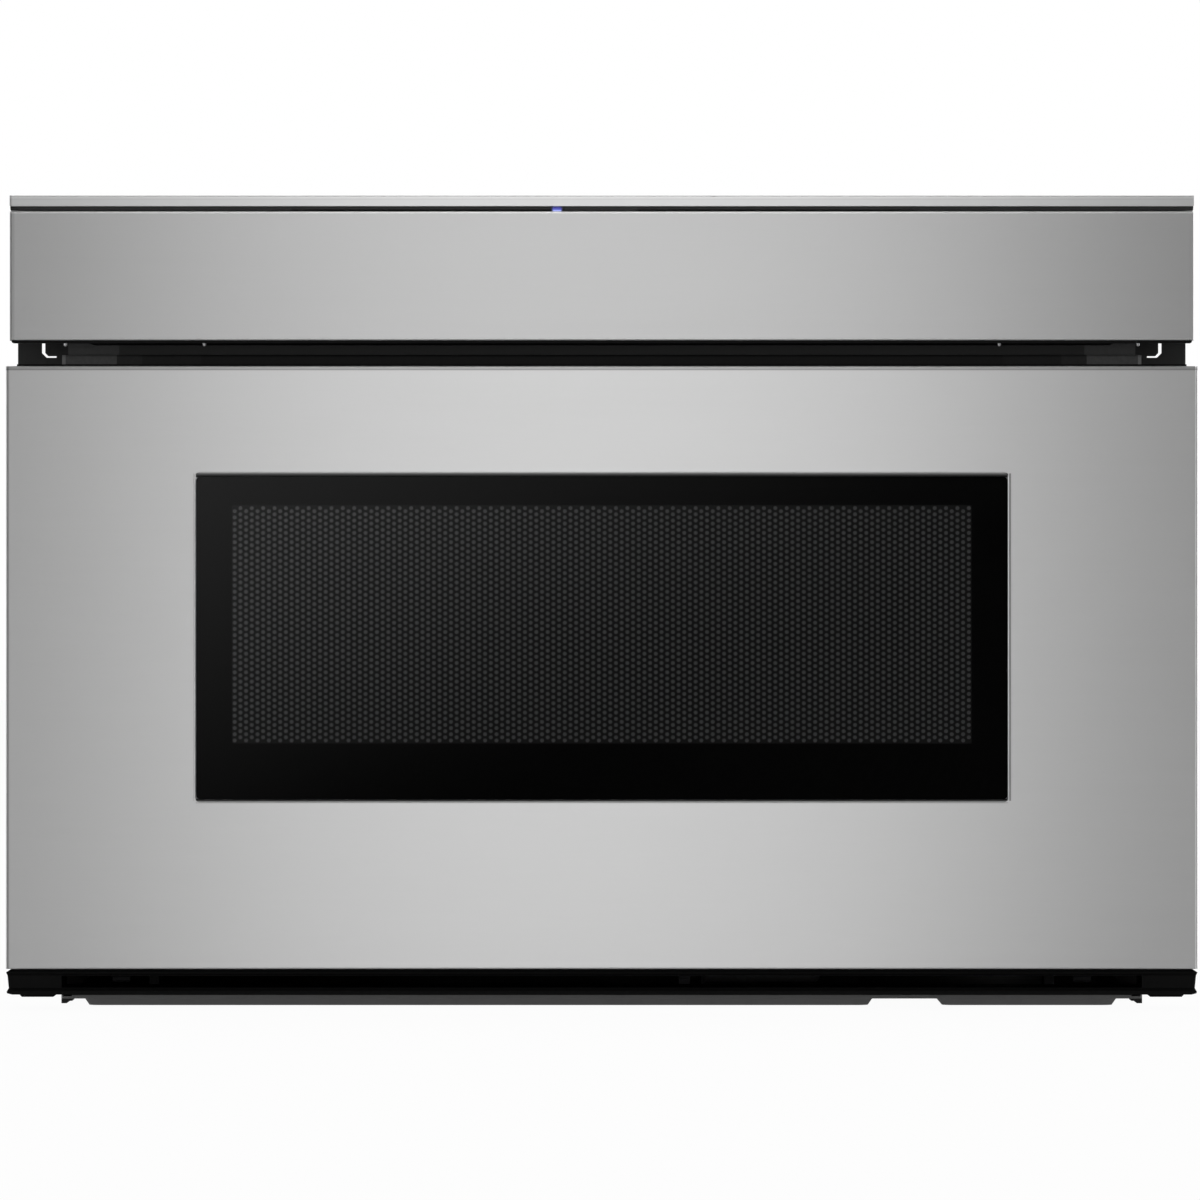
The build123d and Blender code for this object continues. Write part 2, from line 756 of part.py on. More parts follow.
with BuildPart() as fan_motor:
    rod_y(fan_motor_r, fan_x, (shroud_y - fan_motor_depth, shroud_y), fan_z)
    fillet(fan_motor.edges().group_by(Axis.Y)[0], 3)
    block(
        (fan_x - fan_motor_ear, fan_x + fan_motor_ear),
        (shroud_y - fan_motor_depth + 6, shroud_y - 8),
        (fan_z - fan_motor_ear / 3, fan_z + fan_motor_ear / 3),
    )
    rod_y(fan_shaft_r + fit_gap, fan_x, (shroud_y - 14, shroud_y), fan_z, Mode.SUBTRACT)
save(fan_motor, "fan_motor")

blade_count = 7
blade_pitch = 32.0

with BuildPart() as fan_blade:
    rod_y(fan_shaft_r, fan_x, (shroud_y - 12, fan_blade_y + fan_blade_depth), fan_z)
    rod_y(16, fan_x, span(fan_blade_y, fan_blade_depth), fan_z)
    fillet(fan_blade.edges().group_by(Axis.Y)[-1], 2)
    with Locations(Plane((fan_x, fan_blade_y + fan_blade_depth / 2, fan_z), z_dir=(0, 1, 0))):
        with PolarLocations((fan_r + 14) / 2, blade_count):
            Box(fan_r - 14, 26, 1.6, rotation=(blade_pitch, 0, 0))
    with BuildSketch(Plane.XZ.offset(-fan_blade_y - fan_blade_depth - 8)):
        with Locations((fan_x, fan_z)):
            Circle(fan_r)
    extrude(amount=fan_blade_depth + 40, mode=Mode.INTERSECT)
save(fan_blade, "fan_blade")

core_x = (47.0 - case_x, 147.0 - case_x)
core_y = (cavity_back + 25.0, cavity_back + 85.0)
core_top = base_top + 87.0
core_leg = 17.0
core_window = 16.0
winding_out = 14.0

with BuildPart() as transformer_core:
    block(core_x, core_y, (base_top + 2, core_top))
    block((core_x[0] - 8, core_x[1] + 8), (core_y[0] + 8, core_y[1] - 8), span(base_top, 2))
    middle = (core_x[0] + core_x[1]) / 2
    core_low = base_top + 2 + core_leg
    core_high = core_top - core_leg
    for side in (-1, 1):
        edge = middle + side * core_leg
        block(sorted((edge, edge + side * core_window)), core_y, (core_low, core_high), Mode.SUBTRACT)
save(transformer_core, "transformer_core")

with BuildPart() as transformer_windings:
    with BuildSketch(Plane.XY.offset(core_low)):
        with Locations((middle, (core_y[0] + core_y[1]) / 2)):
            RectangleRounded(
                2 * (core_leg + core_window), core_y[1] - core_y[0] + 2 * winding_out, 10
            )
            Rectangle(2 * core_leg, core_y[1] - core_y[0], mode=Mode.SUBTRACT)
    extrude(amount=core_high - core_low)
    block(core_x, core_y, span((core_low + core_high) / 2 - 1.5, 3), Mode.SUBTRACT)
save(transformer_windings, "transformer_windings")

can_x = (core_x[1] + 22.0, core_x[1] + 82.0)
can_y = (core_y[0] + core_y[1]) / 2
can_w = 36.0
can_h = 74.0

with BuildPart() as hv_capacitor:
    with BuildSketch(Plane.XY.offset(base_top)):
        with Locations(((can_x[0] + can_x[1]) / 2, can_y)):
            SlotOverall(can_x[1] - can_x[0], can_w)
    extrude(amount=can_h)
    fillet(hv_capacitor.edges().group_by(Axis.Z)[-1], 1.5)
    for side in (-1, 1):
        rod_z(4.5, sum(can_x) / 2 + side * 13, can_y, span(base_top + can_h, 6))
        block(
            (sum(can_x) / 2 + side * 13 - 3, sum(can_x) / 2 + side * 13 + 3),
            (can_y - 0.4, can_y + 0.4),
            span(base_top + can_h + 6, 8),
        )
save(hv_capacitor, "hv_capacitor")

board_x = (case_x - 159.0, case_x - 59.0)
board_y = (cavity_back + 30.0, cavity_back + 100.0)
board_lift = 9.0
board_t = 1.6

with BuildPart() as noise_filter_board:
    block(board_x, board_y, span(base_top + board_lift, board_t))
    for post_x in (board_x[0] + 6, board_x[1] - 6):
        for post_y in (board_y[0] + 6, board_y[1] - 6):
            rod_z(3, post_x, post_y, (base_top, base_top + board_lift))
    top = base_top + board_lift + board_t
    rod_z(14, board_x[0] + 28, board_y[0] + 36, span(top, 22))
    rod_z(6, board_x[0] + 28, board_y[0] + 36, span(top, 22), Mode.SUBTRACT)
    block((board_x[0] + 50, board_x[0] + 76), (board_y[0] + 14, board_y[0] + 32), span(top, 16))
    block((board_x[0] + 52, board_x[0] + 80), (board_y[0] + 44, board_y[0] + 60), span(top, 18))
    block((board_x[0] + 48, board_x[0] + 78), (board_y[0] + 35, board_y[0] + 41), span(top, 6))
save(noise_filter_board, "noise_filter_board")

with BuildPart() as oven_lamp:
    wall_x = cavity_x + cavity_t
    block((wall_x, wall_x + 1), (lamp_y - 24, lamp_y + 24), (lamp_z - 20, lamp_z + 20))
    block((wall_x, wall_x + 28), (lamp_y - 17, lamp_y + 17), (lamp_z - 17, lamp_z + 17))
    fillet(oven_lamp.edges().group_by(Axis.X)[-1], 3)
    block((wall_x, wall_x + 26), (lamp_y - 15, lamp_y + 15), (lamp_z - 15, lamp_z + 15), Mode.SUBTRACT)
    rod_x(6, (wall_x + 8, wall_x + 26), lamp_y, lamp_z)
save(oven_lamp, "oven_lamp")

switch_floor = latch_z - 12.0
switch_x = (latch_x + 3.5, latch_x + 9.8)
switch_size = (28.0, 16.0)
switch_plate_t = 1.2
switch_plate_x = (latch_x - 12.0, latch_x + 16.0)
switch_plate_y = span(flange_back, 42.0)

with BuildPart() as switch_brackets:
    block(switch_plate_x, switch_plate_y, (switch_floor - switch_plate_t, switch_floor))
    block(
        switch_plate_x,
        span(flange_back, switch_plate_t),
        (switch_floor - switch_plate_t, latch_z + latch_slot[1]),
    )
    block(
        (latch_x - latch_slot[0] / 2, latch_x + latch_slot[0] / 2),
        span(flange_back, switch_plate_t),
        (latch_z - latch_slot[1] / 2, latch_z + latch_slot[1] / 2),
        Mode.SUBTRACT,
    )
    block(
        (switch_plate_x[1] - switch_plate_t, switch_plate_x[1]),
        switch_plate_y,
        (switch_floor, latch_z + 2),
    )
    mirror(about=Plane.YZ)
save(switch_brackets, "switch_brackets")

with BuildPart() as micro_switches:
    block(switch_x, span(flange_back + 6, switch_size[0]), span(switch_floor, switch_size[1]))
    block(span(switch_x[0] - 1.2, 1.2), span(flange_back + 9, 16), span(latch_z - 2, 4))
    for lug in (12, 20):
        block(
            span(sum(switch_x) / 2 - 0.45, 0.8),
            span(flange_back + lug, 3),
            span(switch_floor + switch_size[1], 6),
        )
    mirror(about=Plane.YZ)
save(micro_switches, "micro_switches")

# ---------------------------------------------------------------- drawer slides and drive

middle_length = rail_length - 10.0


def flat_rail(web_x, flange_x, bottom, top, y):
    """A rail with its web on one side and a lip at the bottom and top."""
    block(sorted((web_x, web_x + rail_t)), y, (bottom, top))
    block(sorted(flange_x), y, (bottom, bottom + rail_t))
    block(sorted(flange_x), y, (top - rail_t, top))


outer_y = span(rail_y, rail_length)
middle_y = span(rail_y + 2, middle_length)
inner_y = span(rail_y, rail_length + 5)
middle_z = (rail_bottom + rail_t + moving_gap, rail_top - rail_t - moving_gap)
inner_z = (middle_z[0] + rail_t + moving_gap, middle_z[1] - rail_t - moving_gap)

with BuildPart() as rails_outer:
    flat_rail(case_x - rail_t, (case_x - rail_depth - 1, case_x), rail_bottom, rail_top, outer_y)
    mirror(about=Plane.YZ)
save(rails_outer, "rails_outer")

with BuildPart() as rail_middle_right:
    flat_rail(
        middle_web_x - rail_t,
        (inner_web_x + rail_t + 4, middle_flange_x),
        middle_z[0],
        middle_z[1],
        middle_y,
    )
save(rail_middle_right, "rail_middle_right")

with BuildPart() as rail_middle_left:
    add(rail_middle_right.part.mirror(Plane.YZ))
save(rail_middle_left, "rail_middle_left")

with BuildPart() as rails_inner:
    flat_rail(
        inner_web_x,
        (inner_web_x, middle_web_x - rail_t - moving_gap),
        inner_z[0],
        inner_z[1],
        inner_y,
    )
    mirror(about=Plane.YZ)
save(rails_inner, "rails_inner")

arm_back = rail_y + rail_length + 5
arm_tab = 16.0

with BuildPart() as drawer_arms:
    block(span(arm_x, arm_t), (panel_face, arm_back), span(arm_bottom, arm_height))
    block((arm_x - arm_tab, arm_x + arm_t), span(panel_face, arm_t), span(arm_bottom, arm_height - 2))
    mirror(about=Plane.YZ)
save(drawer_arms, "drawer_arms")

rack_start = shaft_y - 15.0
rack_end = shaft_y + travel + 15.0

with BuildPart() as racks:
    with BuildSketch(Plane.YZ.offset(rack_x)):
        with BuildLine():
            Polyline(
                *rack_outline(
                    rack_start,
                    rack_end,
                    shaft_y,
                    rack_pitch_z,
                    rack_pitch_z + dedendum * rack_module + rack_back,
                    rack_module,
                ),
                close=True,
            )
        make_face()
    extrude(amount=rack_width)
    mirror(about=Plane.YZ)
save(racks, "racks")

pinion_x = rack_x + (rack_width - pinion_width) / 2

with BuildPart() as drive_shaft:
    rod_x(shaft_r, both(pinion_x + pinion_width), shaft_y, shaft_z)
    chamfer(drive_shaft.edges().filter_by(GeomType.CIRCLE), 0.5)
save(drive_shaft, "drive_shaft")

with BuildPart() as shaft_pinions:
    with BuildSketch(Plane.YZ.offset(pinion_x)):
        with BuildLine():
            Polyline(
                *gear_outline(pinion_teeth, rack_module, (shaft_y, shaft_z), pi / 2), close=True
            )
        make_face()
    extrude(amount=pinion_width)
    rod_x(shaft_r + seat_gap, span(pinion_x, pinion_width), shaft_y, shaft_z, Mode.SUBTRACT)
    mirror(about=Plane.YZ)
save(shaft_pinions, "shaft_pinions")

with BuildPart() as drive_gear:
    with BuildSketch(Plane.YZ.offset(gear_x)):
        with BuildLine():
            Polyline(
                *gear_outline(drive_gear_teeth, drive_module, (shaft_y, shaft_z), 0), close=True
            )
        make_face()
    extrude(amount=gear_width)
    rod_x(8, span(gear_x - 5, 5), shaft_y, shaft_z)
    rod_x(shaft_r + seat_gap, (gear_x - 5, gear_x + gear_width), shaft_y, shaft_z, Mode.SUBTRACT)
save(drive_gear, "drive_gear")

motor_plate_x = gear_x + gear_width + 6.0
motor_plate_t = 2.0
motor_front = motor_plate_x + motor_plate_t

with BuildPart() as motor_gear:
    with BuildSketch(Plane.YZ.offset(gear_x)):
        with BuildLine():
            Polyline(
                *gear_outline(
                    motor_gear_teeth,
                    drive_module,
                    (motor_y, shaft_z),
                    pi + pi / motor_gear_teeth,
                ),
                close=True,
            )
        make_face()
    extrude(amount=gear_width)
    rod_x(motor_shaft_r, (gear_x + gear_width, motor_front + shaft_seat_depth - 1), motor_y, shaft_z)
save(motor_gear, "motor_gear")

with BuildPart() as drive_motor:
    rod_x(drive_motor_r, span(motor_front, drive_motor_length), motor_y, shaft_z)
    fillet(drive_motor.edges().group_by(Axis.X)[-1], 3)
    rod_x(8, span(motor_front + drive_motor_length, 5), motor_y, shaft_z)
    rod_x(
        motor_shaft_r + fit_gap, span(motor_front, shaft_seat_depth), motor_y, shaft_z, Mode.SUBTRACT
    )
save(drive_motor, "drive_motor")

bearing_t = 5.0
bearing_x = rack_x - 10.0 - bearing_t
foot_t = 1.8

with BuildPart() as drive_brackets:
    for side in (-1, 1):
        plate = sorted((side * bearing_x, side * (bearing_x + bearing_t)))
        foot = sorted((side * (bearing_x - 16), side * bearing_x))
        block(plate, (shaft_y - 10, shaft_y + 10), (base_top, shaft_z + 10))
        block(foot, (shaft_y - 12, shaft_y + 12), span(base_top, foot_t))
        rod_x(shaft_r + fit_gap, plate, shaft_y, shaft_z, Mode.SUBTRACT)
    block(
        (motor_plate_x, motor_front),
        (motor_y - drive_motor_r, motor_y + drive_motor_r),
        (base_top, shaft_z + drive_motor_r),
    )
    block(
        span(motor_front, 18),
        (motor_y - drive_motor_r, motor_y + drive_motor_r),
        span(base_top, foot_t),
    )
    rod_x(motor_shaft_r + 1.5, (motor_plate_x, motor_front), motor_y, shaft_z, Mode.SUBTRACT)
save(drive_brackets, "drive_brackets")

# ---------------------------------------------------------------- drawer

with BuildPart() as door_skin:
    block(both(door_x), span(front_y, door_return), (door_bottom, door_top))
    fillet(door_skin.edges().group_by(Axis.Y)[0], 0.9)
    block(
        both(door_x - skin_t),
        (front_y + skin_t, front_y + door_return),
        (door_bottom + skin_t, door_top - skin_t),
        Mode.SUBTRACT,
    )
    with BuildSketch(Plane.XZ.offset(-front_y - skin_t)):
        with Locations((0, window_z)):
            RectangleRounded(
                window_width + 2 * skin_t, window_height + 2 * skin_t, window_corner_r + skin_t
            )
    extrude(amount=-(window_lip - skin_t))
    with BuildSketch(Plane.XZ.offset(-front_y)):
        with Locations((0, window_z)):
            RectangleRounded(window_width, window_height, window_corner_r)
    extrude(amount=-window_lip, mode=Mode.SUBTRACT)
    window_rim = [
        edge
        for edge in door_skin.edges().group_by(Axis.Y)[0]
        if abs(edge.center().X) < door_x - 10 and edge.length < window_width + 1
    ]
    fillet(window_rim, 0.8)
save(door_skin, "door_skin")

glass_size = (window_width + 2 * glass_overlap, window_height + 2 * glass_overlap)

with BuildPart() as door_glass:
    with BuildSketch(Plane.XZ.offset(-glass_y)):
        with Locations((0, window_z)):
            RectangleRounded(*glass_size, 4)
    extrude(amount=-glass_t)
save(door_glass, "door_glass")

with BuildPart() as window_screen:
    with BuildSketch(Plane.XZ.offset(-screen_y)):
        with Locations((0, window_z)):
            RectangleRounded(*glass_size, 4)
    extrude(amount=-screen_t)
save(window_screen, "window_screen")

frame_x = door_x - skin_t - moving_gap
frame_front = front_y + skin_t
rib_t = 2.0
ribs_x = (-door_x / 2, 0.0, door_x / 2)

rim_y = front_y + door_return + moving_gap
rim_top = door_top + 1.5
rim_x = flange_x - 1.0

with BuildPart() as door_frame:
    block(both(frame_x), (frame_front, frame_back), (frame_bottom, frame_top))
    block(
        both(frame_x - plastic_t),
        (frame_front, frame_back - plastic_t),
        (frame_bottom + plastic_t, frame_top - plastic_t),
        Mode.SUBTRACT,
    )
    with BuildSketch(Plane.XZ.offset(-frame_front)):
        with Locations((0, window_z)):
            RectangleRounded(
                glass_size[0] + 2 * (seat_gap + plastic_t),
                glass_size[1] + 2 * (seat_gap + plastic_t),
                4 + plastic_t,
            )
    extrude(amount=-(frame_back - frame_front))
    for rib_x in ribs_x:
        block(
            span(rib_x - rib_t / 2, rib_t), (frame_front, frame_back), (frame_bottom, frame_top)
        )
    for side in (-1, 1):
        inner = side * glass_size[0] / 2
        outer = side * frame_x
        block(sorted((inner, outer)), (frame_front, frame_back), span(window_z - 1, rib_t))
    with BuildSketch(Plane.XZ.offset(-frame_front)):
        with Locations((0, window_z)):
            RectangleRounded(glass_size[0] + 2 * seat_gap, glass_size[1] + 2 * seat_gap, 4)
    extrude(amount=-(ledge_y - frame_front), mode=Mode.SUBTRACT)
    with BuildSketch(Plane.XZ.offset(-ledge_y)):
        with Locations((0, window_z)):
            RectangleRounded(window_width + 2 * ledge_overlap, window_height + 2 * ledge_overlap, 3)
    extrude(amount=-(frame_back - ledge_y), mode=Mode.SUBTRACT)
    with BuildSketch(Plane.XZ.offset(-ledge_y - plastic_t)):
        with Locations((0, window_z)):
            RectangleRounded(*glass_size, 4)
    extrude(amount=-(frame_back - ledge_y - plastic_t), mode=Mode.SUBTRACT)
    block(both(rim_x), (rim_y, frame_back), (frame_top, rim_top))
save(door_frame, "door_frame")

top_rail_y = rim_y + 1.0
top_rail_top = door_top + top_rail_height
top_rail_x = case_half - top_rail_inset

with BuildPart() as door_top_rail:
    block(both(top_rail_x), (top_rail_y, frame_back), (rim_top, top_rail_top))
    fillet(door_top_rail.edges().filter_by(Axis.X).group_by(Axis.Z)[-1], 1.5)
    block(
        both(top_rail_x - panel_t),
        (top_rail_y + panel_t, frame_back - panel_t),
        (rim_top, top_rail_top - panel_t),
        Mode.SUBTRACT,
    )
save(door_top_rail, "door_top_rail")

with BuildPart() as door_panel:
    with BuildSketch(Plane.XZ.offset(-frame_back)):
        with Locations((0, (frame_bottom + frame_top) / 2)):
            RectangleRounded(2 * door_panel_x, frame_top - frame_bottom - 2 * door_panel_inset[1], 6)
        with Locations((0, window_z)):
            RectangleRounded(*inner_view, 5, mode=Mode.SUBTRACT)
    extrude(amount=-panel_t)
save(door_panel, "door_panel")

with BuildPart() as choke_cover:
    with BuildSketch(Plane.XZ.offset(-panel_face)):
        with Locations((0, (choke_bottom + choke_top) / 2)):
            RectangleRounded(2 * choke_x, choke_top - choke_bottom, 6)
        with Locations((0, (bin_bottom + bin_top) / 2)):
            Rectangle(bin_width + 2 * choke_bin_gap, bin_height + 2 * choke_bin_gap, mode=Mode.SUBTRACT)
    extrude(amount=-(flange_y - seal_gap - panel_face))
    fillet(choke_cover.edges().filter_by(Axis.X).group_by(Axis.Y)[-1], 1.2)
save(choke_cover, "choke_cover")

with BuildPart() as drawer_bin:
    block(both(bin_x), (panel_face, bin_back), (bin_bottom, bin_top))
    fillet(drawer_bin.edges().filter_by(Axis.Z).group_by(Axis.Y)[-1], 12)
    block(
        both(bin_x - bin_t),
        (panel_face + bin_t, bin_back - bin_t),
        (bin_bottom + bin_t, bin_top),
        Mode.SUBTRACT,
    )
    with BuildSketch(Plane.XZ.offset(-panel_face)):
        with Locations((0, window_z)):
            RectangleRounded(*inner_view, 5)
    extrude(amount=-bin_t, mode=Mode.SUBTRACT)
save(drawer_bin, "drawer_bin")

with BuildPart() as inner_window:
    with BuildSketch(Plane.XZ.offset(-panel_face - bin_t)):
        with Locations((0, window_z)):
            RectangleRounded(
                inner_view[0] + 2 * inner_glass_overlap,
                inner_view[1] + 2 * inner_glass_overlap,
                8,
            )
    extrude(amount=-inner_glass_t)
save(inner_window, "inner_window")

shelf_y = (panel_face + bin_t + inner_glass_t + moving_gap, bin_back - bin_t - moving_gap)

with BuildPart() as ceramic_shelf:
    with BuildSketch(Plane.XY.offset(bin_bottom + bin_t)):
        with Locations((0, sum(shelf_y) / 2)):
            RectangleRounded(bin_width - 2 * bin_t - 2 * moving_gap, shelf_y[1] - shelf_y[0], 12)
    extrude(amount=shelf_t)
    fillet(ceramic_shelf.edges().group_by(Axis.Z)[-1], 1)
save(ceramic_shelf, "ceramic_shelf")

hook_z = (latch_z - hook_height / 2, latch_z + hook_height / 2)

with BuildPart() as latch_hooks:
    with BuildSketch(Plane.YZ.offset(latch_x - hook_t / 2)):
        with BuildLine():
            Polyline(
                (panel_face, hook_z[0]),
                (panel_face + hook_reach - 4, hook_z[0]),
                (panel_face + hook_reach, hook_z[0] + 3),
                (panel_face + hook_reach, hook_z[1]),
                (panel_face + hook_reach - 7, hook_z[1]),
                (panel_face + hook_reach - 7, hook_z[1] - 3),
                (panel_face + hook_reach - 12, hook_z[1] - 4),
                (panel_face, hook_z[1] - 4),
                close=True,
            )
        make_face()
    extrude(amount=hook_t)
    block((latch_x - 8, latch_x + 8), span(panel_face, 1.5), hook_z)
    mirror(about=Plane.YZ)
save(latch_hooks, "latch_hooks")


def screw(x, z, y, way):
    """A pan-head screw head that stands out of a wall along Y."""
    rod_y(3.2, x, sorted((y, y + way * 1.8)), z)
    block((x - 2.2, x + 2.2), sorted((y + way * 1.1, y + way * 1.8)), (z - 0.4, z + 0.4), Mode.SUBTRACT)
    block((x - 0.4, x + 0.4), sorted((y + way * 1.1, y + way * 1.8)), (z - 2.2, z + 2.2), Mode.SUBTRACT)


screw_inset = 14.0
door_screw_x = door_panel_x - screw_inset

with BuildPart() as door_screws:
    for x in (-door_screw_x, door_screw_x):
        for z in (choke_bottom + screw_inset, window_z, choke_top):
            screw(x, z, panel_face, 1)
    for x in (-door_screw_x / 3, door_screw_x / 3):
        screw(x, frame_bottom + 2 * screw_inset, panel_face, 1)
save(door_screws, "door_screws")

case_screw_x = case_x - 9.0

with BuildPart() as case_screws:
    for x in (-case_screw_x, case_screw_x):
        for z in (base_top + 2 * screw_inset, case_top / 2, case_top - screw_inset):
            screw(x, z, back_y, 1)
    for x in (-case_screw_x / 3, case_screw_x / 3):
        screw(x, case_top - screw_inset, back_y, 1)
        screw(x, base_top + screw_inset, back_y, 1)
save(case_screws, "case_screws")

# ---------------------------------------------------------------- control panel

with BuildPart() as control_skin:
    block(both(panel_x), span(front_y, pivot_behind_front - 2), (panel_bottom, panel_top))
    fillet(control_skin.edges().group_by(Axis.Y)[0], 0.9)
    block(
        both(panel_x - skin_t),
        (front_y + skin_t, front_y + pivot_behind_front - 2),
        (panel_bottom, panel_top - skin_t),
        Mode.SUBTRACT,
    )
save(control_skin, "control_skin")

carrier_x = panel_x - skin_t
shelf_top = touch_top - touch_t
shelf_bottom = shelf_top - plastic_t
front_wall = front_y + skin_t
wall_back = front_wall + plastic_t
nose_back = front_y + 6.5
boss_r = 6.0

with BuildPart() as control_carrier:
    block(both(carrier_x), (front_wall, wall_back), (panel_bottom, panel_top - skin_t))
    block(both(carrier_x), (front_y, nose_back), (carrier_bottom, panel_bottom))
    block(both(carrier_x), (wall_back, touch_y), (shelf_bottom, shelf_top))
    block(both(control_x), (front_wall, touch_y - 2), span(carrier_bottom, plastic_t))
    for side in (-1, 1):
        wall = sorted((side * (control_x - plastic_t), side * control_x))
        block(wall, (wall_back, touch_y - 1), (carrier_bottom, shelf_bottom))
        rod_x(boss_r, sorted((side * (control_x - plastic_t), side * (control_x + 4))), pivot_y, pivot_z)
        end = sorted((side * (carrier_x - plastic_t), side * carrier_x))
        block(end, (wall_back, touch_y - 16), (panel_bottom + 36, shelf_bottom))
    for boss in range(-2, 3):
        rod_z(3, boss * 100, touch_y - 15, (shelf_bottom - 3, shelf_bottom))
    for side in (-1, 1):
        bore = sorted((side * (control_x - plastic_t), side * (control_x + 4)))
        rod_x(panel_pin_r + seat_gap, bore, pivot_y, pivot_z, Mode.SUBTRACT)
    fillet(
        control_carrier.edges().filter_by(Axis.Y).group_by(Axis.Z)[0].sort_by(Axis.X)[0], 0.9
    )
    fillet(
        control_carrier.edges().filter_by(Axis.Y).group_by(Axis.Z)[0].sort_by(Axis.X)[-1], 0.9
    )
save(control_carrier, "control_carrier")

with BuildPart() as touch_glass:
    block(both(carrier_x), (wall_back, touch_y), (shelf_top, touch_top))
    chamfer(touch_glass.edges().group_by(Axis.Z)[-1], 0.4)
save(touch_glass, "touch_glass")

display_x = 46.0
display_board_x = 210.0
display_board_top = shelf_bottom - 3.0
chip_y = (touch_y - 22.0, touch_y - 12.0)
chip_height = 4.0
plug_height = 8.0

with BuildPart() as display_board:
    block(
        both(display_board_x),
        (touch_y - 27, touch_y - 4),
        (display_board_top - board_t, display_board_top),
    )
    block(both(display_x), (touch_y - 24, touch_y - 18.5), (display_board_top, shelf_bottom - 0.2))
    block(span(90, 18), chip_y, span(display_board_top - board_t - plug_height, plug_height))
    for chip_x in (-150, -120, 140):
        block(span(chip_x, 14), chip_y, span(display_board_top - board_t - chip_height, chip_height))
save(display_board, "display_board")

pin_end = sector_x + sector_width + 1.0

with BuildPart() as hinge_pins:
    rod_x(panel_pin_r, (control_x - plastic_t, pin_end), pivot_y, pivot_z)
    chamfer(hinge_pins.edges().filter_by(GeomType.CIRCLE), 0.4)
    mirror(about=Plane.YZ)
save(hinge_pins, "hinge_pins")

pitch_turn = 360.0 / sector_teeth
teeth_before = int((mesh_angle - sector_from) / pitch_turn)
teeth_after = int((sector_to - mesh_angle) / pitch_turn)
first_tooth = radians(mesh_angle - teeth_before * pitch_turn)

with BuildPart() as sector_gear:
    with BuildSketch(Plane.YZ.offset(-sector_x - sector_width)):
        with BuildLine():
            Polyline(
                *gear_outline(
                    sector_teeth,
                    panel_module,
                    (pivot_y, pivot_z),
                    first_tooth,
                    teeth_before + teeth_after + 1,
                ),
                (pivot_y - 4, pivot_z),
                (pivot_y, pivot_z - 4),
                close=True,
            )
        make_face()
        with Locations((pivot_y, pivot_z)):
            Circle(5.5)
            Circle(panel_pin_r + seat_gap, mode=Mode.SUBTRACT)
    extrude(amount=sector_width)
save(sector_gear, "sector_gear")

motor_end = -bracket_x
panel_shaft_end = -bracket_x + bracket_t + 7.0

with BuildPart() as panel_pinion:
    with BuildSketch(Plane.YZ.offset(-sector_x - sector_width - 0.5)):
        with BuildLine():
            Polyline(
                *gear_outline(
                    panel_pinion_teeth,
                    panel_module,
                    (panel_motor_y, panel_motor_z),
                    radians(mesh_angle) + pi + pi / panel_pinion_teeth,
                ),
                close=True,
            )
        make_face()
    extrude(amount=sector_width + 1)
    rod_x(panel_shaft_r, (-sector_x, motor_end + 7), panel_motor_y, panel_motor_z)
save(panel_pinion, "panel_pinion")

with BuildPart() as panel_motor:
    rod_x(panel_motor_r, span(motor_end, panel_motor_length), panel_motor_y, panel_motor_z)
    fillet(panel_motor.edges().group_by(Axis.X)[-1], 2)
    rod_x(panel_shaft_r + fit_gap, span(motor_end, 8), panel_motor_y, panel_motor_z, Mode.SUBTRACT)
save(panel_motor, "panel_motor")

bracket_low = pivot_z - 5.5
bracket_tab = 9.0

with BuildPart() as panel_brackets:
    with BuildSketch(Plane.YZ.offset(bracket_x)):
        with BuildLine():
            Polyline(
                (flange_y, bracket_low),
                (pivot_y, bracket_low),
                (pivot_y - 4, bracket_low + 2),
                (pivot_y - 5.6, pivot_z),
                (pivot_y - 5.6, panel_motor_z),
                (pivot_y, bracket_top),
                (flange_y, bracket_top),
                close=True,
            )
        make_face()
        with Locations((pivot_y, pivot_z)):
            Circle(panel_pin_r + fit_gap, mode=Mode.SUBTRACT)
        with Locations((panel_motor_y, panel_motor_z)):
            Circle(panel_shaft_r + 0.5, mode=Mode.SUBTRACT)
    extrude(amount=bracket_t)
    block(
        (bracket_x - bracket_tab, bracket_x),
        span(flange_y - bracket_t, bracket_t),
        (slot_top + 2, bracket_top),
    )
    mirror(about=Plane.YZ)
save(panel_brackets, "panel_brackets")
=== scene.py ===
import json
import math

import bmesh
import bpy
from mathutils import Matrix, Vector


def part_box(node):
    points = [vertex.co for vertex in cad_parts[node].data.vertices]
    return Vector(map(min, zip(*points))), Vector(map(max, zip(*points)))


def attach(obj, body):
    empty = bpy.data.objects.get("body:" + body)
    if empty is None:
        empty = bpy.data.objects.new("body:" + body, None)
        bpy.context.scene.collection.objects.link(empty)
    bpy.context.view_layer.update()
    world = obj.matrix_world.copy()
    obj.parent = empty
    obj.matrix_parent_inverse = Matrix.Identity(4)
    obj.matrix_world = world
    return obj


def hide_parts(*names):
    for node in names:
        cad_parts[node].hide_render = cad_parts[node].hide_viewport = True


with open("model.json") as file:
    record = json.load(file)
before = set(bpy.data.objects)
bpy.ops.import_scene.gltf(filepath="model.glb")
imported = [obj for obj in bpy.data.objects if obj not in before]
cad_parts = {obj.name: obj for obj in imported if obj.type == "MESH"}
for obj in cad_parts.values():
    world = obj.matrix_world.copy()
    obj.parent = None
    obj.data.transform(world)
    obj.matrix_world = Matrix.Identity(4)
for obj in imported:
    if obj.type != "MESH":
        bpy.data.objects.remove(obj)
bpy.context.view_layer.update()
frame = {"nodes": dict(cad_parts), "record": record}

# Looks of the microwave drawer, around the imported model.
# Metres, +Z up, -Y towards the user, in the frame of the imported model.

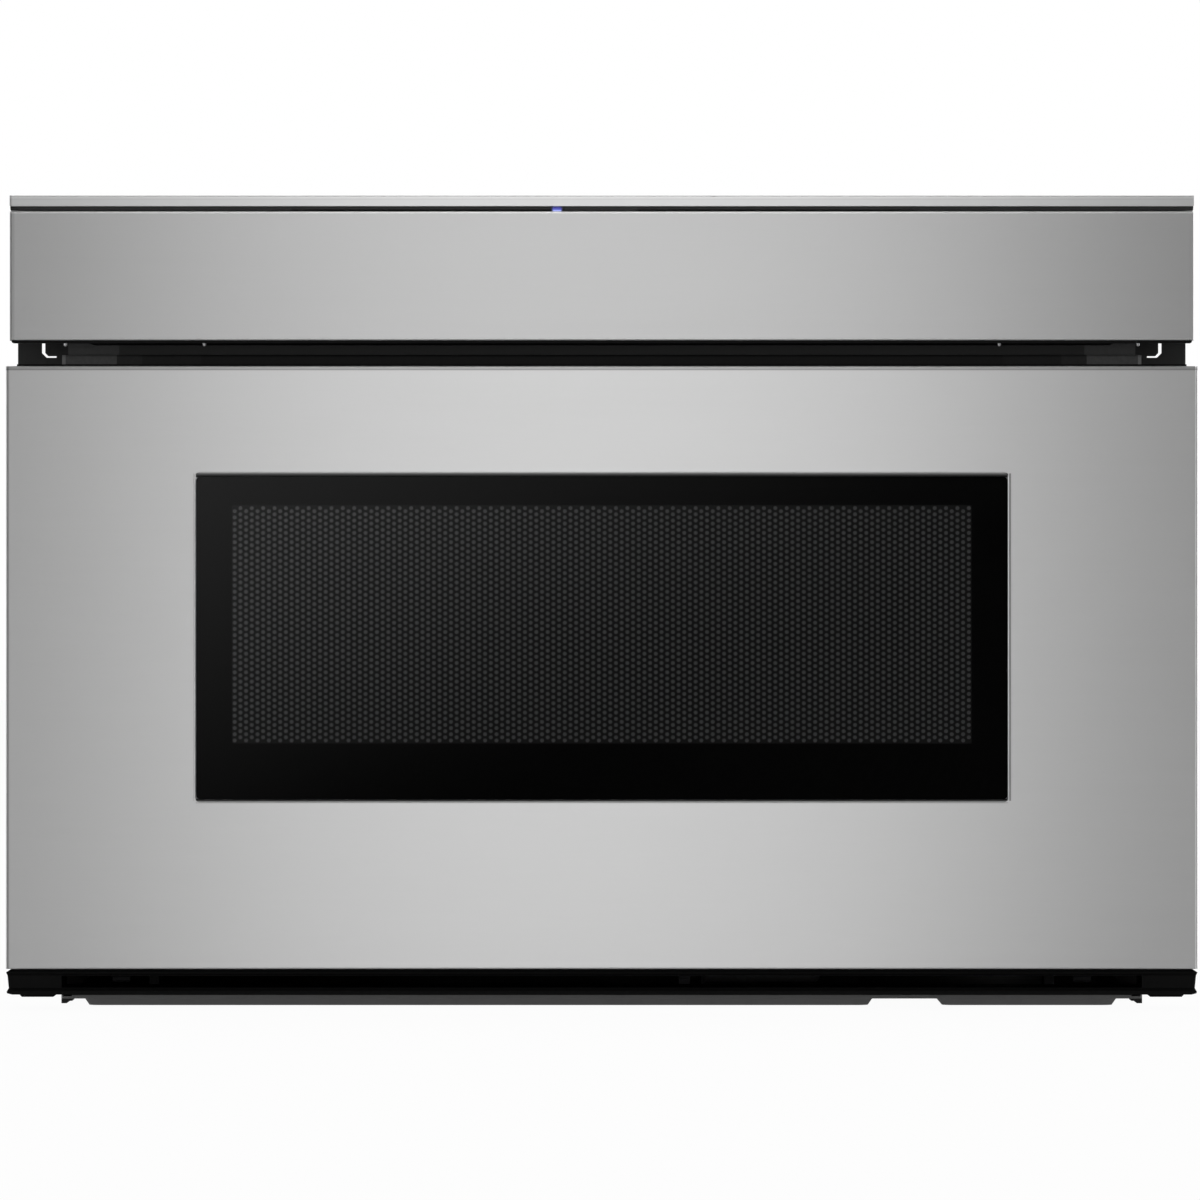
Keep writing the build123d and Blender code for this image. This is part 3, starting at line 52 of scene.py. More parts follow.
nodes = frame["nodes"]
mm = 0.001

# ---------------------------------------------------------------- camera

front_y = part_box("door_skin")[0].y
camera_distance = 4.0
camera_height = 0.2085
camera_x = -0.0009
view_width = 0.6104

camera_data = bpy.data.cameras.new("camera")
camera_data.sensor_width = 36.0
camera_data.lens = camera_data.sensor_width * camera_distance / view_width
camera_data.clip_end = 50.0
camera = bpy.data.objects.new("camera", camera_data)
camera.location = (camera_x, front_y - camera_distance, camera_height)
camera.rotation_euler = (math.radians(90), 0, 0)
bpy.context.scene.collection.objects.link(camera)
bpy.context.scene.camera = camera

# ---------------------------------------------------------------- nodes of materials and world


def add_node(owner, kind, inputs=None, **settings):
    """A new node of a material or world, with its settings and its inputs set or joined."""
    node = owner.node_tree.nodes.new(kind)
    for key, value in settings.items():
        setattr(node, key, value)
    for key, value in (inputs or {}).items():
        if isinstance(value, bpy.types.NodeSocket):
            link(owner, value, node.inputs[key])
        else:
            node.inputs[key].default_value = value
    return node


def link(owner, source, target):
    """Joins an output socket to an input socket."""
    owner.node_tree.links.new(source, target)


def calculated(owner, operation, *values):
    """The result of a math operation on numbers and sockets."""
    return add_node(owner, "ShaderNodeMath", dict(enumerate(values)), operation=operation).outputs[0]


def between(owner, share, first, second):
    """The value a share of the way from the first to the second."""
    return add_node(owner, "ShaderNodeMix", {"Factor": share, "A": first, "B": second}).outputs["Result"]


def ranged(owner, value, low, high, start=0.3, end=0.7, **settings):
    """The value spread over the range from low to high, as it goes from start to end."""
    limits = {"Value": value, "From Min": start, "From Max": end, "To Min": low, "To Max": high}
    return add_node(owner, "ShaderNodeMapRange", limits, **settings).outputs["Result"]


def tinted(material, value, dark, light, start=0.3, end=0.7):
    """The value as a colour between dark and light."""
    share = ranged(material, value, 0, 1, start, end)
    colours = {"Factor": share, "A": (*dark, 1), "B": (*light, 1)}
    return add_node(material, "ShaderNodeMix", colours, data_type="RGBA").outputs["Result"]


def pattern(material, scale, stretch=(1, 1, 1), detail=3.0, kind="ShaderNodeTexNoise", output="Fac"):
    """A texture in the piece's own space, from 0 to 1."""
    place = add_node(material, "ShaderNodeTexCoord")
    mapping = add_node(material, "ShaderNodeMapping", {"Vector": place.outputs["Object"], "Scale": stretch})
    fineness = {"Vector": mapping.outputs["Vector"], "Scale": scale, "Detail": detail}
    return add_node(material, kind, fineness).outputs[output]


def place_in_piece(material):
    """The X, Y and Z of a point in the piece's own space."""
    place = add_node(material, "ShaderNodeTexCoord")
    return add_node(material, "ShaderNodeSeparateXYZ", {"Vector": place.outputs["Object"]}).outputs


# ---------------------------------------------------------------- kinds of material


def grey(level):
    """A neutral colour."""
    return (level, level, level)


def shade(colour, factor):
    """The colour made lighter or darker by a factor."""
    return tuple(min(1.0, part * factor) for part in colour)


def new_material(name, colour, roughness, metallic=0.0, **sockets):
    """A material with its constants on the shader's own sockets."""
    material = bpy.data.materials.new(name)
    material.use_nodes = True
    shader = shader_of(material)
    shader.inputs["Base Color"].default_value = (*colour, 1)
    shader.inputs["Roughness"].default_value = roughness
    shader.inputs["Metallic"].default_value = metallic
    for socket, value in sockets.items():
        shader.inputs[socket.replace("_", " ")].default_value = value
    return material


def shader_of(material):
    """The material's main shader."""
    return material.node_tree.nodes["Principled BSDF"]


def add_finish(material, colours, roughness):
    """Joins a varying colour and roughness to the shader."""
    link(material, colours, shader_of(material).inputs["Base Color"])
    link(material, roughness, shader_of(material).inputs["Roughness"])


def add_relief(material, height, depth, strength):
    """Makes the surface uneven by a height from 0 to 1."""
    bump = add_node(material, "ShaderNodeBump", {"Strength": strength, "Distance": depth, "Height": height})
    link(material, bump.outputs["Normal"], shader_of(material).inputs["Normal"])


def mix_shaders(material, share, second):
    """Shows the second shader by a share over the main one."""
    shaders = {"Fac": share, 1: shader_of(material).outputs["BSDF"], 2: second}
    mixed = add_node(material, "ShaderNodeMixShader", shaders)
    link(material, mixed.outputs["Shader"], material.node_tree.nodes["Material Output"].inputs["Surface"])


def textured(
    name,
    colour,
    roughness,
    metallic=0.0,
    scale=400.0,
    stretch=(1, 1, 1),
    detail=3.0,
    tone=0.12,
    gloss=0.08,
    relief=0.02 * mm,
    **sockets,
):
    """A material whose tone, roughness and surface vary with a noise."""
    material = new_material(name, colour, roughness, metallic, **sockets)
    noise = pattern(material, scale, stretch, detail)
    colours = tinted(material, noise, shade(colour, 1 - tone), shade(colour, 1 + tone))
    add_finish(material, colours, ranged(material, noise, roughness - gloss, roughness + gloss))
    if relief:
        add_relief(material, noise, relief, strength=0.6)
    return material


def brushed_steel(name, colour, roughness, grain=0.012):
    """Stainless steel with a horizontal grain: long fine lines along X."""
    material = new_material(name, colour, roughness, 1.0, Anisotropic=1.0, Anisotropic_Rotation=0.25)
    along = add_node(material, "ShaderNodeCombineXYZ", {"X": 1.0})
    link(material, along.outputs["Vector"], shader_of(material).inputs["Tangent"])
    fine = pattern(material, scale=45.0, stretch=(1, 60, 60), detail=4.0)
    broad = pattern(material, scale=9.0, stretch=(1, 12, 12), detail=2.0)
    lines = between(material, 0.5, fine, broad)
    colours = tinted(material, lines, shade(colour, 1 - grain), shade(colour, 1 + grain))
    add_finish(material, colours, ranged(material, lines, roughness * 0.98, roughness * 1.02))
    add_relief(material, fine, 0.01 * mm, strength=0.15)
    return material


def zinc_coated(name, colour, roughness, metallic=0.9):
    """Galvanised sheet with its crystal pattern."""
    material = new_material(name, colour, roughness, metallic)
    cells = pattern(material, scale=160.0, kind="ShaderNodeTexVoronoi", output="Color")
    crystal = add_node(material, "ShaderNodeSeparateColor", {"Color": cells}).outputs["Red"]
    fine = pattern(material, scale=900.0)
    colours = tinted(material, crystal, shade(colour, 0.95), shade(colour, 1.04), 0, 1)
    add_finish(material, colours, ranged(material, crystal, roughness - 0.02, roughness + 0.02, 0, 1))
    add_relief(material, fine, 0.01 * mm, strength=0.2)
    return material


def clear_glass(name, colour):
    """Flat glass that lets the lamps' light through, with a trace of colour variation."""
    material = new_material(name, colour, 0.0, IOR=1.5, Transmission_Weight=1.0)
    cloud = pattern(material, scale=20.0, detail=2.0)
    colours = tinted(material, cloud, shade(colour, 0.99), colour)
    link(material, colours, shader_of(material).inputs["Base Color"])
    ray = add_node(material, "ShaderNodeLightPath").outputs
    passing = calculated(material, "MAXIMUM", ray["Is Shadow Ray"], ray["Is Diffuse Ray"])
    through = add_node(material, "ShaderNodeBsdfTransparent", {"Color": (*colour, 1)})
    mix_shaders(material, passing, through.outputs["BSDF"])
    return material


def glowing(name, colour, glows, lens, reach):
    """A lamp lens that glows in colours given by their share of its height.

    The glow fades along X from the start to the end of its reach."""
    material = textured(name, colour, 0.3, scale=300.0, relief=0)
    place = place_in_piece(material)
    low, high = lens
    height = ranged(material, place["Z"], 0.0, 1.0, low.z, high.z)
    ramp = add_node(material, "ShaderNodeValToRGB", {"Fac": height})
    stops = ramp.color_ramp.elements
    while len(stops) < len(glows):
        stops.new(1.0)
    for stop, (share, glow) in zip(stops, glows):
        stop.position = share
        stop.color = (*glow, 1)
    aside = calculated(material, "SUBTRACT", place["X"], (low.x + high.x) / 2)
    strength = ranged(material, calculated(material, "ABSOLUTE", aside), 1.0, 0.1, *reach)
    link(material, strength, shader_of(material).inputs["Emission Strength"])
    link(material, ramp.outputs["Color"], shader_of(material).inputs["Emission Color"])
    return material


# ---------------------------------------------------------------- materials

dull = 0.1  # specular level of the deepest blacks

# Each with its name, colour and roughness, and its metallic share where it has one
drawer_steel = brushed_steel("drawer_steel", grey(0.585), 0.36)
panel_steel = brushed_steel("panel_steel", grey(0.505), 0.36)
# A lighter copy of the stainless: painted light on the strip above the panel
trim_steel_painted_light = brushed_steel("trim_steel_painted_light", grey(0.75), 0.40)
rim_steel = textured("rim_steel", grey(0.62), 0.32, 1.0, scale=60.0, tone=0.015, gloss=0.01, relief=0)
galvanised = zinc_coated("galvanised", (0.48, 0.48, 0.485), 0.58, 0.6)
base_zinc = zinc_coated("base_zinc", grey(0.50), 0.5)
zinc_steel = zinc_coated("zinc_steel", (0.61, 0.61, 0.615), 0.3)
copper = textured("copper", (0.62, 0.26, 0.12), 0.32, 1.0, scale=60.0, stretch=(1, 1, 40))
core_steel = textured("core_steel", (0.16, 0.16, 0.17), 0.5, 0.8, scale=20.0, stretch=(1, 60, 1))
aluminium = textured("aluminium", (0.74, 0.75, 0.76), 0.3, 1.0, scale=200.0, tone=0.06)

black_plastic = textured("black_plastic", grey(0.012), 0.42, scale=900.0)
# A copy of the black plastic that carries painted light and shade along the indicator bar
bar_black_painted_light = textured("bar_black_painted_light", grey(0.012), 0.42, scale=900.0)
black_steel = textured("black_steel", grey(0.010), 0.5, scale=500.0, detail=4.0)
# Copies of the black steel that carry painted light in the finger gap and on the flange
flange_black_painted_light = textured("flange_black_painted_light", grey(0.010), 0.5, scale=500.0, detail=4.0)
rail_black_painted_light = textured("rail_black_painted_light", grey(0.011), 0.5, scale=500.0, detail=4.0, Specular_IOR_Level=dull)
# Darker copies of the black plastic: painted shade on the control carrier, the door frame and the vent
deep_black_painted_shade = textured("deep_black_painted_shade", grey(0.0022), 0.5, scale=900.0, Specular_IOR_Level=dull)
vent_black_painted_shade = textured("vent_black_painted_shade", grey(0.0012), 0.5, scale=900.0, Specular_IOR_Level=dull)

glass = clear_glass("clear_glass", (0.82, 0.83, 0.825))
window_glass = clear_glass("window_glass", grey(0.86))
touch_black = textured("black_glass", (0.006, 0.006, 0.007), 0.06, scale=30.0, gloss=0.02, relief=0)
screen_border = textured("screen_border", grey(0.0008), 0.6, scale=700.0, Specular_IOR_Level=dull)
screen_web = textured("screen_web", grey(0.0105), 0.6, scale=700.0, Specular_IOR_Level=dull)
screen_dot = textured("screen_dot", grey(0.049), 0.6, scale=700.0)

enamel = textured("grey_enamel", (0.30, 0.30, 0.295), 0.28, scale=1400.0, tone=0.18, detail=5.0)
ceramic = textured("ceramic", (0.72, 0.71, 0.68), 0.22, scale=700.0, tone=0.05)
mica = textured("mica", (0.42, 0.38, 0.30), 0.5, scale=70.0, tone=0.2, detail=6.0)
circuit_board = textured("circuit_board", (0.02, 0.13, 0.05), 0.35, scale=260.0, tone=0.35)
white_nylon = textured("white_nylon", (0.75, 0.74, 0.70), 0.45, scale=300.0, tone=0.04)
dark_nylon = textured("dark_nylon", (0.035, 0.035, 0.037), 0.5, scale=300.0)
rubber = textured("rubber", grey(0.014), 0.75, scale=600.0)
print_white = textured("print_white", (0.62, 0.63, 0.64), 0.55, scale=900.0, tone=0.04, relief=0)
print_dim = textured("print_dim", (0.028, 0.030, 0.034), 0.3, scale=900.0, relief=0)
blue_light = glowing(
    "blue_light",
    (0.01, 0.01, 0.05),
    glows=(
        (0.0, (0.50, 0.56, 0.95)),
        (0.10, (0.28, 0.33, 0.83)),
        (0.25, (0.09, 0.12, 0.58)),
        (0.45, (0.04, 0.05, 0.42)),
        (0.65, (0.015, 0.015, 0.24)),
        (0.85, (0.006, 0.005, 0.12)),
    ),
    lens=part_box("led_lens"),
    reach=(1.8 * mm, 2.6 * mm),
)

slot_finishes = {
    "stainless": drawer_steel,
    "black_glass": touch_black,
    "dark_screen": screen_web,
    "clear_glass": glass,
    "black_plastic": black_plastic,
    "black_steel": black_steel,
    "galvanised": galvanised,
    "zinc_steel": zinc_steel,
    "grey_enamel": enamel,
    "ceramic": ceramic,
    "copper": copper,
    "core_steel": core_steel,
    "aluminium": aluminium,
    "circuit_board": circuit_board,
    "white_nylon": white_nylon,
    "dark_nylon": dark_nylon,
    "mica": mica,
    "rubber": rubber,
    "blue_light": blue_light,
}

for part in frame["record"]["subparts"]:
    solid = nodes[part["node"]]
    if not solid.material_slots:
        solid.data.materials.append(None)
    for material_slot in solid.material_slots:
        material_slot.material = slot_finishes[part["material_slot"]]

# Nodes with a finish of their own in place of their slot's; some are copies that carry painted light or
# shade
own_finishes = {
    "control_skin": panel_steel,
    "top_trim": trim_steel_painted_light,
    "door_glass": window_glass,
    "control_carrier": deep_black_painted_shade,
    "indicator_bar": bar_black_painted_light,
    "lower_vent": vent_black_painted_shade,
    "front_flange": flange_black_painted_light,
    "door_top_rail": rail_black_painted_light,
    "door_frame": deep_black_painted_shade,
    "shaft_pinions": dark_nylon,
    "drive_gear": dark_nylon,
    "drive_brackets": black_steel,
    "base_plate": base_zinc,
}

for name, material in own_finishes.items():
    nodes[name].material_slots[0].material = material

# ---------------------------------------------------------------- painted highlights and shade along edges


def add_painted_light_bands(material, axis, bands, within=None):
    """Multiplies the base colour by a factor within each band, to paint highlights and shade on it.

    A band is its start and end along the axis, in millimetres, and the factor.
    The bands may be kept within a start and end along another axis."""
    base = shader_of(material).inputs["Base Color"]
    before = base.links[0].from_socket
    place = place_in_piece(material)

    def inside(along, start, end):
        """1 from start to end along an axis, and 0 elsewhere."""
        middle = (start + end) / 2 * mm
        half = (end - start) / 2 * mm
        return calculated(material, "COMPARE", place[along], middle, half)

    tone = 1.0
    for start, end, factor in bands:
        change = factor - 1
        if within:
            change = calculated(material, "MULTIPLY", inside(*within), change)
        band = calculated(material, "MULTIPLY_ADD", inside(axis, start, end), change, 1.0)
        tone = calculated(material, "MULTIPLY", tone, band)
    colours = {"Factor": 1.0, "A": before, "B": tone}
    blend = add_node(material, "ShaderNodeMix", colours, data_type="RGBA", blend_type="MULTIPLY")
    link(material, blend.outputs["Result"], base)


def from_edge(edge, *tones):
    """Bands whose start and end are given from an edge."""
    return [(edge + start, edge + end, factor) for start, end, factor in tones]


def from_middle(side, tones):
    """Bands on one side of the part, whose start and end are given from its middle."""
    return [(*sorted((side * near, side * far)), factor) for near, far, factor in tones]


glass_low, glass_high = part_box("door_glass")
glass_overlap = 8.0 * mm

# In millimetres: the window's opening, and the corners of the steel sheets
window_x = (glass_high.x - glass_overlap) / mm
window_low = (glass_low.z + glass_overlap) / mm
window_high = (glass_high.z - glass_overlap) / mm
door_low, door_high = (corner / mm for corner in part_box("door_skin"))
panel_low, panel_high = (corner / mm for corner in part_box("control_skin"))
trim_low, trim_high = (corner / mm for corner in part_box("top_trim"))
beside_window = ("Z", window_low, window_high)
across_window = ("X", -window_x, window_x)

# Painted highlights and shade along the drawer front's folded edges, and on the skin around its window
add_painted_light_bands(
    drawer_steel,
    "Z",
    from_edge(door_high.z, (-2.4, -1.9, 0.85), (-1.9, -1.3, 0.46), (-1.3, -0.7, 0.76), (-0.7, 0.1, 0.67)),
)
add_painted_light_bands(
    drawer_steel,
    "X",
    from_edge(door_low.x, (-0.1, 0.6, 1.2), (0.6, 1.7, 0.66))
    + from_edge(door_high.x, (-1.3, -0.6, 2.3), (-0.6, 0.1, 1.4)),
)
add_painted_light_bands(
    drawer_steel,
    "X",
    from_edge(-window_x, (-1.4, -0.9, 0.8)) + from_edge(window_x, (0.75, 1.7, 0.42)),
    within=beside_window,
)
add_painted_light_bands(drawer_steel, "Z", from_edge(window_low, (-1.2, -0.7, 0.7)), within=across_window)

# Painted shade along the rolled lip's top and bottom, and painted highlights and shade at its sides
add_painted_light_bands(
    rim_steel,
    "Z",
    from_edge(
        window_high,
        (0.1, 0.9, 0.75),
        (-0.4, 0.1, 0.28),
        (-0.9, -0.4, 0.14),
        (-1.4, -0.9, 0.057),
        (-2.0, -1.4, 0.028),
    )
    + from_edge(window_low, (0.35, 1.0, 0.02), (-0.15, 0.35, 0.16), (-0.7, -0.15, 0.33)),
    within=across_window,
)
add_painted_light_bands(
    rim_steel,
    "X",
    from_edge(-window_x, (-0.9, -0.4, 1.5), (-0.4, 0.3, 2.1))
    + from_edge(window_x, (-0.35, 0.16, 0.4), (0.16, 0.67, 1.9), (0.67, 0.9, 0.5)),
    within=beside_window,
)

# Painted highlights and shade on the panel's edges, the strip above it and the dark bar
bar_end = 4.0
bar_recess = 158.0
bar_middle = (-18.8, 18.0)
add_painted_light_bands(panel_steel, "Z", from_edge(panel_high.z, (-1.0, 0.1, 1.6)))
add_painted_light_bands(
    panel_steel,
    "X",
    from_edge(panel_low.x, (-0.1, 1.2, 0.68), (1.2, 2.4, 0.86)) + from_edge(panel_high.x, (-0.9, 0.1, 1.6)),
)
add_painted_light_bands(trim_steel_painted_light, "Z", from_edge(trim_high.z, (-0.9, 0.1, 0.9), (-1.4, -0.9, 1.1), (-2.4, -1.9, 0.94)))
add_painted_light_bands(trim_steel_painted_light, "X", from_edge(trim_low.x, (-0.1, 0.8, 0.6), (0.8, 1.3, 0.85)))
add_painted_light_bands(
    bar_black_painted_light,
    "X",
    (
        (trim_low.x, trim_low.x + bar_end, 0.4),
        (trim_low.x + bar_end, -bar_recess, 1.5),
        (*bar_middle, 2.2),
        (bar_recess, trim_high.x, 1.15),
    ),
)

# Painted light on the blacks in the finger gap, lighter towards its ends, on the flange's middle and its
# sides. Places are in millimetres from the part's middle.
gap_end = 276.0
rail_end = 274.2
rail_light = 248.0
rail_fading = 235.0
rail_dim = 205.0
flange_side = (284.0, 320.0)
rail_painted_light = (
    (rail_end, gap_end, 14.0),
    (rail_light, rail_end, 6.0),
    (rail_fading, rail_light, 2.0),
    (rail_dim, rail_fading, 1.3),
)
flange_painted_light = ((rail_light, rail_end, 6.2), (*flange_side, 1.15))
for side in (-1, 1):
    add_painted_light_bands(rail_black_painted_light, "X", from_middle(side, rail_painted_light))
    add_painted_light_bands(flange_black_painted_light, "X", from_middle(side, flange_painted_light))
add_painted_light_bands(flange_black_painted_light, "X", ((-rail_light, rail_light, 2.6),))

# Painted shade on the base plate's lower edge, and darker painted shade above it
base_edge = 5.4
base_shade_top = 9.0
add_painted_light_bands(base_zinc, "Z", ((-1.0, base_edge, 0.62), (base_edge, base_shade_top, 0.06)))

# ---------------------------------------------------------------- making pieces

corner_steps = 4
circle_corners = 24


def new_piece(name, points, faces, materials, body):
    """A mesh piece that rides on a body."""
    mesh = bpy.data.meshes.new(name)
    mesh.from_pydata(points, [], faces)
    mesh.update()
    piece = bpy.data.objects.new(name, mesh)
    bpy.context.scene.collection.objects.link(piece)
    for material in materials:
        mesh.materials.append(material)
    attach(piece, body)
    return piece


def turn_outwards(piece):
    """Turns every face of the piece outwards."""
    sheet = bmesh.new()
    sheet.from_mesh(piece.data)
    bmesh.ops.recalc_face_normals(sheet, faces=sheet.faces)
    sheet.to_mesh(piece.data)
    sheet.free()


def wall(first, second):
    """The faces between two loops of as many points."""
    count = len(first)
    following = [(step, (step + 1) % count) for step in range(count)]
    return [[first[step], first[after], second[after], second[step]] for step, after in following]


def circle(x, y, radius, start=0.0, corners=circle_corners):
    """A loop of points around a centre."""
    turns = [math.radians(start) + 2 * math.pi * step / corners for step in range(corners)]
    return [(x + radius * math.cos(turn), y + radius * math.sin(turn)) for turn in turns]


def rounded_box(x, y, width, height, radius=0.0):
    """A rectangle around a centre, with rounded corners where a radius is given."""
    loop = []
    for side_x, side_y, start in ((1, 1, 0), (-1, 1, 90), (-1, -1, 180), (1, -1, 270)):
        for step in range(corner_steps + 1 if radius else 1):
            turn = math.radians(start + 90 * step / corner_steps)
            across = side_x * (width / 2 - radius) + radius * math.cos(turn)
            up = side_y * (height / 2 - radius) + radius * math.sin(turn)
            loop.append((x + across, y + up))
    return loop


# ---------------------------------------------------------------- window screen

# A black sheet with rows of round dots, staggered column by column
screen_low, screen_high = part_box("window_screen")
screen_corner = 4.0 * mm
dot_columns = 130
dot_rows = 38
dot_pitch_x = 2.898 * mm
dot_pitch_z = 3.155 * mm
dot_radius = 1.05 * mm
dot_depth = 0.2 * mm
dot_corners = 8
field_x = dot_columns * dot_pitch_x / 2
field_centre_z = 0.19535
field_low = field_centre_z - dot_rows * dot_pitch_z / 2
field_high = field_low + (dot_rows + 0.5) * dot_pitch_z
web_kind, dot_kind, border_kind = range(3)  # in the order of the piece's materials
places_per_metre = 1e6


class SharedMesh:
    """Points and faces, where points at one place are one point."""

    def __init__(self):
        self.points = []
        self.index = {}
        self.faces = []
        self.kinds = []

    def key(self, place):
        """The place in whole micrometres."""
        return tuple(round(part * places_per_metre) for part in place)

    def point(self, *place):
        """The number of the point at a place."""
        if self.key(place) not in self.index:
            self.index[self.key(place)] = len(self.points)
            self.points.append(place)
        return self.index[self.key(place)]

    def points_along(self, places):
        """The numbers of the points that exist at these places."""
        return [self.index[self.key(place)] for place in places if self.key(place) in self.index]

    def face(self, corners, kind=web_kind):
        """Adds a face, with the number of its material."""
        self.faces.append(corners)
        self.kinds.append(kind)


def add_dot(sheet, x, z):
    """A rectangle of the sheet around a centre, with a round dot sunk in it."""
    top = screen_low.y
    ways = ((-1, -1), (0, -1), (1, -1), (1, 0), (1, 1), (0, 1), (-1, 1), (-1, 0))
    edge = [sheet.point(x + u * dot_pitch_x / 2, top, z + v * dot_pitch_z / 2) for u, v in ways]
    rim = []
    base = []
    for step in range(dot_corners):
        turn = math.radians(225) + 2 * math.pi * step / dot_corners
        dot_x = x + dot_radius * math.cos(turn)
        dot_z = z + dot_radius * math.sin(turn)
        rim.append(sheet.point(dot_x, top, dot_z))
        base.append(sheet.point(dot_x, top + dot_depth, dot_z))
    for around, down in zip(wall(edge, rim), wall(rim, base)):
        sheet.face(around)
        sheet.face(down)
    sheet.face(base, dot_kind)


def add_dot_columns(sheet):
    """The columns of dots, each with a blank half cell at its lower or upper end."""
    for column in range(dot_columns):
        x = -field_x + (column + 0.5) * dot_pitch_x
        shifted = column % 2
        blank_low = field_low if shifted else field_high - dot_pitch_z / 2
        blank_high = blank_low + dot_pitch_z / 2
        low = [sheet.point(x + u * dot_pitch_x / 2, screen_low.y, blank_low) for u in (-1, 0, 1)]
        high = [sheet.point(x + u * dot_pitch_x / 2, screen_low.y, blank_high) for u in (1, 0, -1)]
        sheet.face(low + high)
        for row in range(dot_rows):
            add_dot(sheet, x, field_low + (row + 0.5 + shifted / 2) * dot_pitch_z)


def add_border(sheet):
    """The sheet's back, its edge, and its front around the field of dots."""
    centre_z = (screen_low.z + screen_high.z) / 2
    height = screen_high.z - screen_low.z
    outline = rounded_box(0, centre_z, 2 * screen_high.x, height, screen_corner)
    front = [sheet.point(x, screen_low.y, z) for x, z in outline]
    back = [sheet.point(x, screen_high.y, z) for x, z in outline]
    sheet.face(back)
    for edge in wall(front, back):
        sheet.face(edge)
    across = [-field_x + step * dot_pitch_x / 2 for step in range(2 * dot_columns + 1)]
    along = [field_low + step * dot_pitch_z / 2 for step in range(2 * dot_rows + 2)]
    field_sides = (
        [(x, screen_low.y, field_high) for x in across],
        [(-field_x, screen_low.y, z) for z in along],
        [(x, screen_low.y, field_low) for x in reversed(across)],
        [(field_x, screen_low.y, z) for z in reversed(along)],
    )
    for side, places in enumerate(field_sides):
        first = side * (corner_steps + 1) + corner_steps // 2
        outer = (front + front)[first : first + corner_steps + 2]
        sheet.face(outer + sheet.points_along(places), border_kind)


screen_sheet = SharedMesh()
add_dot_columns(screen_sheet)
add_border(screen_sheet)
dot_field = new_piece(
    "window_dots",
    screen_sheet.points,
    screen_sheet.faces,
    [screen_web, screen_dot, screen_border],
    "drawer",
)
dot_field.data.polygons.foreach_set("material_index", screen_sheet.kinds)
turn_outwards(dot_field)
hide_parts("window_screen")

# ---------------------------------------------------------------- panel screws

# Screws that hang from the panel's lower edge. Their profile's radius and height, and their places
# along X, are in millimetres.
screw_profile = ((0.6, 0.4), (0.6, 0), (0.9, 0), (0.9, -1.0), (0.5, -1.5))
screw_x = (-272.9, -202.3, 202.3, 272.9)
screw_corners = 20
screw_y = front_y + 3.2 * mm
screw_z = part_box("control_carrier")[0].z


def add_screws():
    """Round screws with upright axes, in one piece."""
    points = []
    faces = []
    for x in screw_x:
        loops = []
        for radius, height in screw_profile:
            loop = circle(x * mm, screw_y, radius * mm, corners=screw_corners)
            loops.append(range(len(points), len(points) + screw_corners))
            points += [(*place, screw_z + height * mm) for place in loop]
        for low, high in zip(loops, loops[1:]):
            faces += wall(low, high)
        faces += [list(loops[0]), list(loops[-1])]
    turn_outwards(new_piece("panel_screws", points, faces, [zinc_steel], "control_panel"))


add_screws()

# ---------------------------------------------------------------- window lip

# A rolled lip from the skin's face back to the glass, in millimetres
rim_out = 0.75
rim_in = (0.1, 0.7, 1.6)  # at the sides, below and above
rim_proud = 0.07
rim_depth = 1.0
rim_steps = 8
rim_corner = 2.2
rim_back = (glass_low.y - front_y) / mm - rim_proud


def rim_loop(inwards, depth):
    """The points around the window, a share of the way inwards, at a depth."""
    side, below, above = (rim_out - (rim_out + reach) * inwards for reach in rim_in)
    low = window_low - below
    high = window_high + above
    outline = rounded_box(0, (low + high) / 2, 2 * (window_x + side), high - low, rim_corner + side)
    return [(x * mm, front_y + depth * mm, z * mm) for x, z in outline]


def add_rim():
    """The lip's quarter roll, then its straight back, closed around."""
    loops = []
    for step in range(rim_steps + 1):
        turn = math.radians(90 * step / rim_steps)
        loops.append(rim_loop(math.sin(turn), rim_depth * (1 - math.cos(turn)) - rim_proud))
    loops += [rim_loop(1, rim_back), rim_loop(0, rim_back)]
    count = len(loops[0])
    numbers = [range(step * count, (step + 1) * count) for step in range(len(loops))]
    points = sum(loops, [])
    faces = []
    for first, second in zip(numbers, numbers[1:] + numbers[:1]):
        faces += wall(first, second)
    rim = new_piece("window_rim", points, faces, [rim_steel], "drawer")
    turn_outwards(rim)
    rim.data.polygons.foreach_set("use_smooth", [face < rim_steps * count for face in range(len(faces))])


add_rim()

# ---------------------------------------------------------------- touch marks

# Marks printed on the touch glass, laid out in millimetres
touch_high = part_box("touch_glass")[1]
print_height = 0.03 * mm
print_depth = 0.01 * mm
print_width = 0.35
upper_row = touch_high.y / mm - 8.0
lower_row = touch_high.y / mm - 22.0
programme_size = (22.0, 9.0, 4.5)  # width, height and corner radius
programme_start = -224.0
programme_pitch = 32.0
round_key_radius = 4.6
round_key_start = 84.0
round_key_pitch = 18.0
control_size = (24.0, 9.0, 2.0)
level_x = 186.0
start_x = 222.0
display_y = touch_high.y / mm - 16.0
display_size = (92.0, 18.0, 1.5)
digit_x = (-24.0, -10.0, 10.0, 24.0)
segment_width = 0.9
segment_length = 5.0
segment_height = 3.6
segment_side = 3.2
segment_rise = 2.3
colon_rise = 2.2
colon_radius = 0.7


def bar(x, y, length, width, angle=0.0):
    """A straight bar, turned by an angle in degrees."""
    turn = math.radians(angle)
    loop = []
    for u, v in ((1, 1), (-1, 1), (-1, -1), (1, -1)):
        across = u * length / 2
        up = v * width / 2
        turned_x = across * math.cos(turn) - up * math.sin(turn)
        turned_y = across * math.sin(turn) + up * math.cos(turn)
        loop.append((x + turned_x, y + turned_y))
    return loop


def filled(*loops):
    """Shapes with no hole."""
    return [(loop, None) for loop in loops]


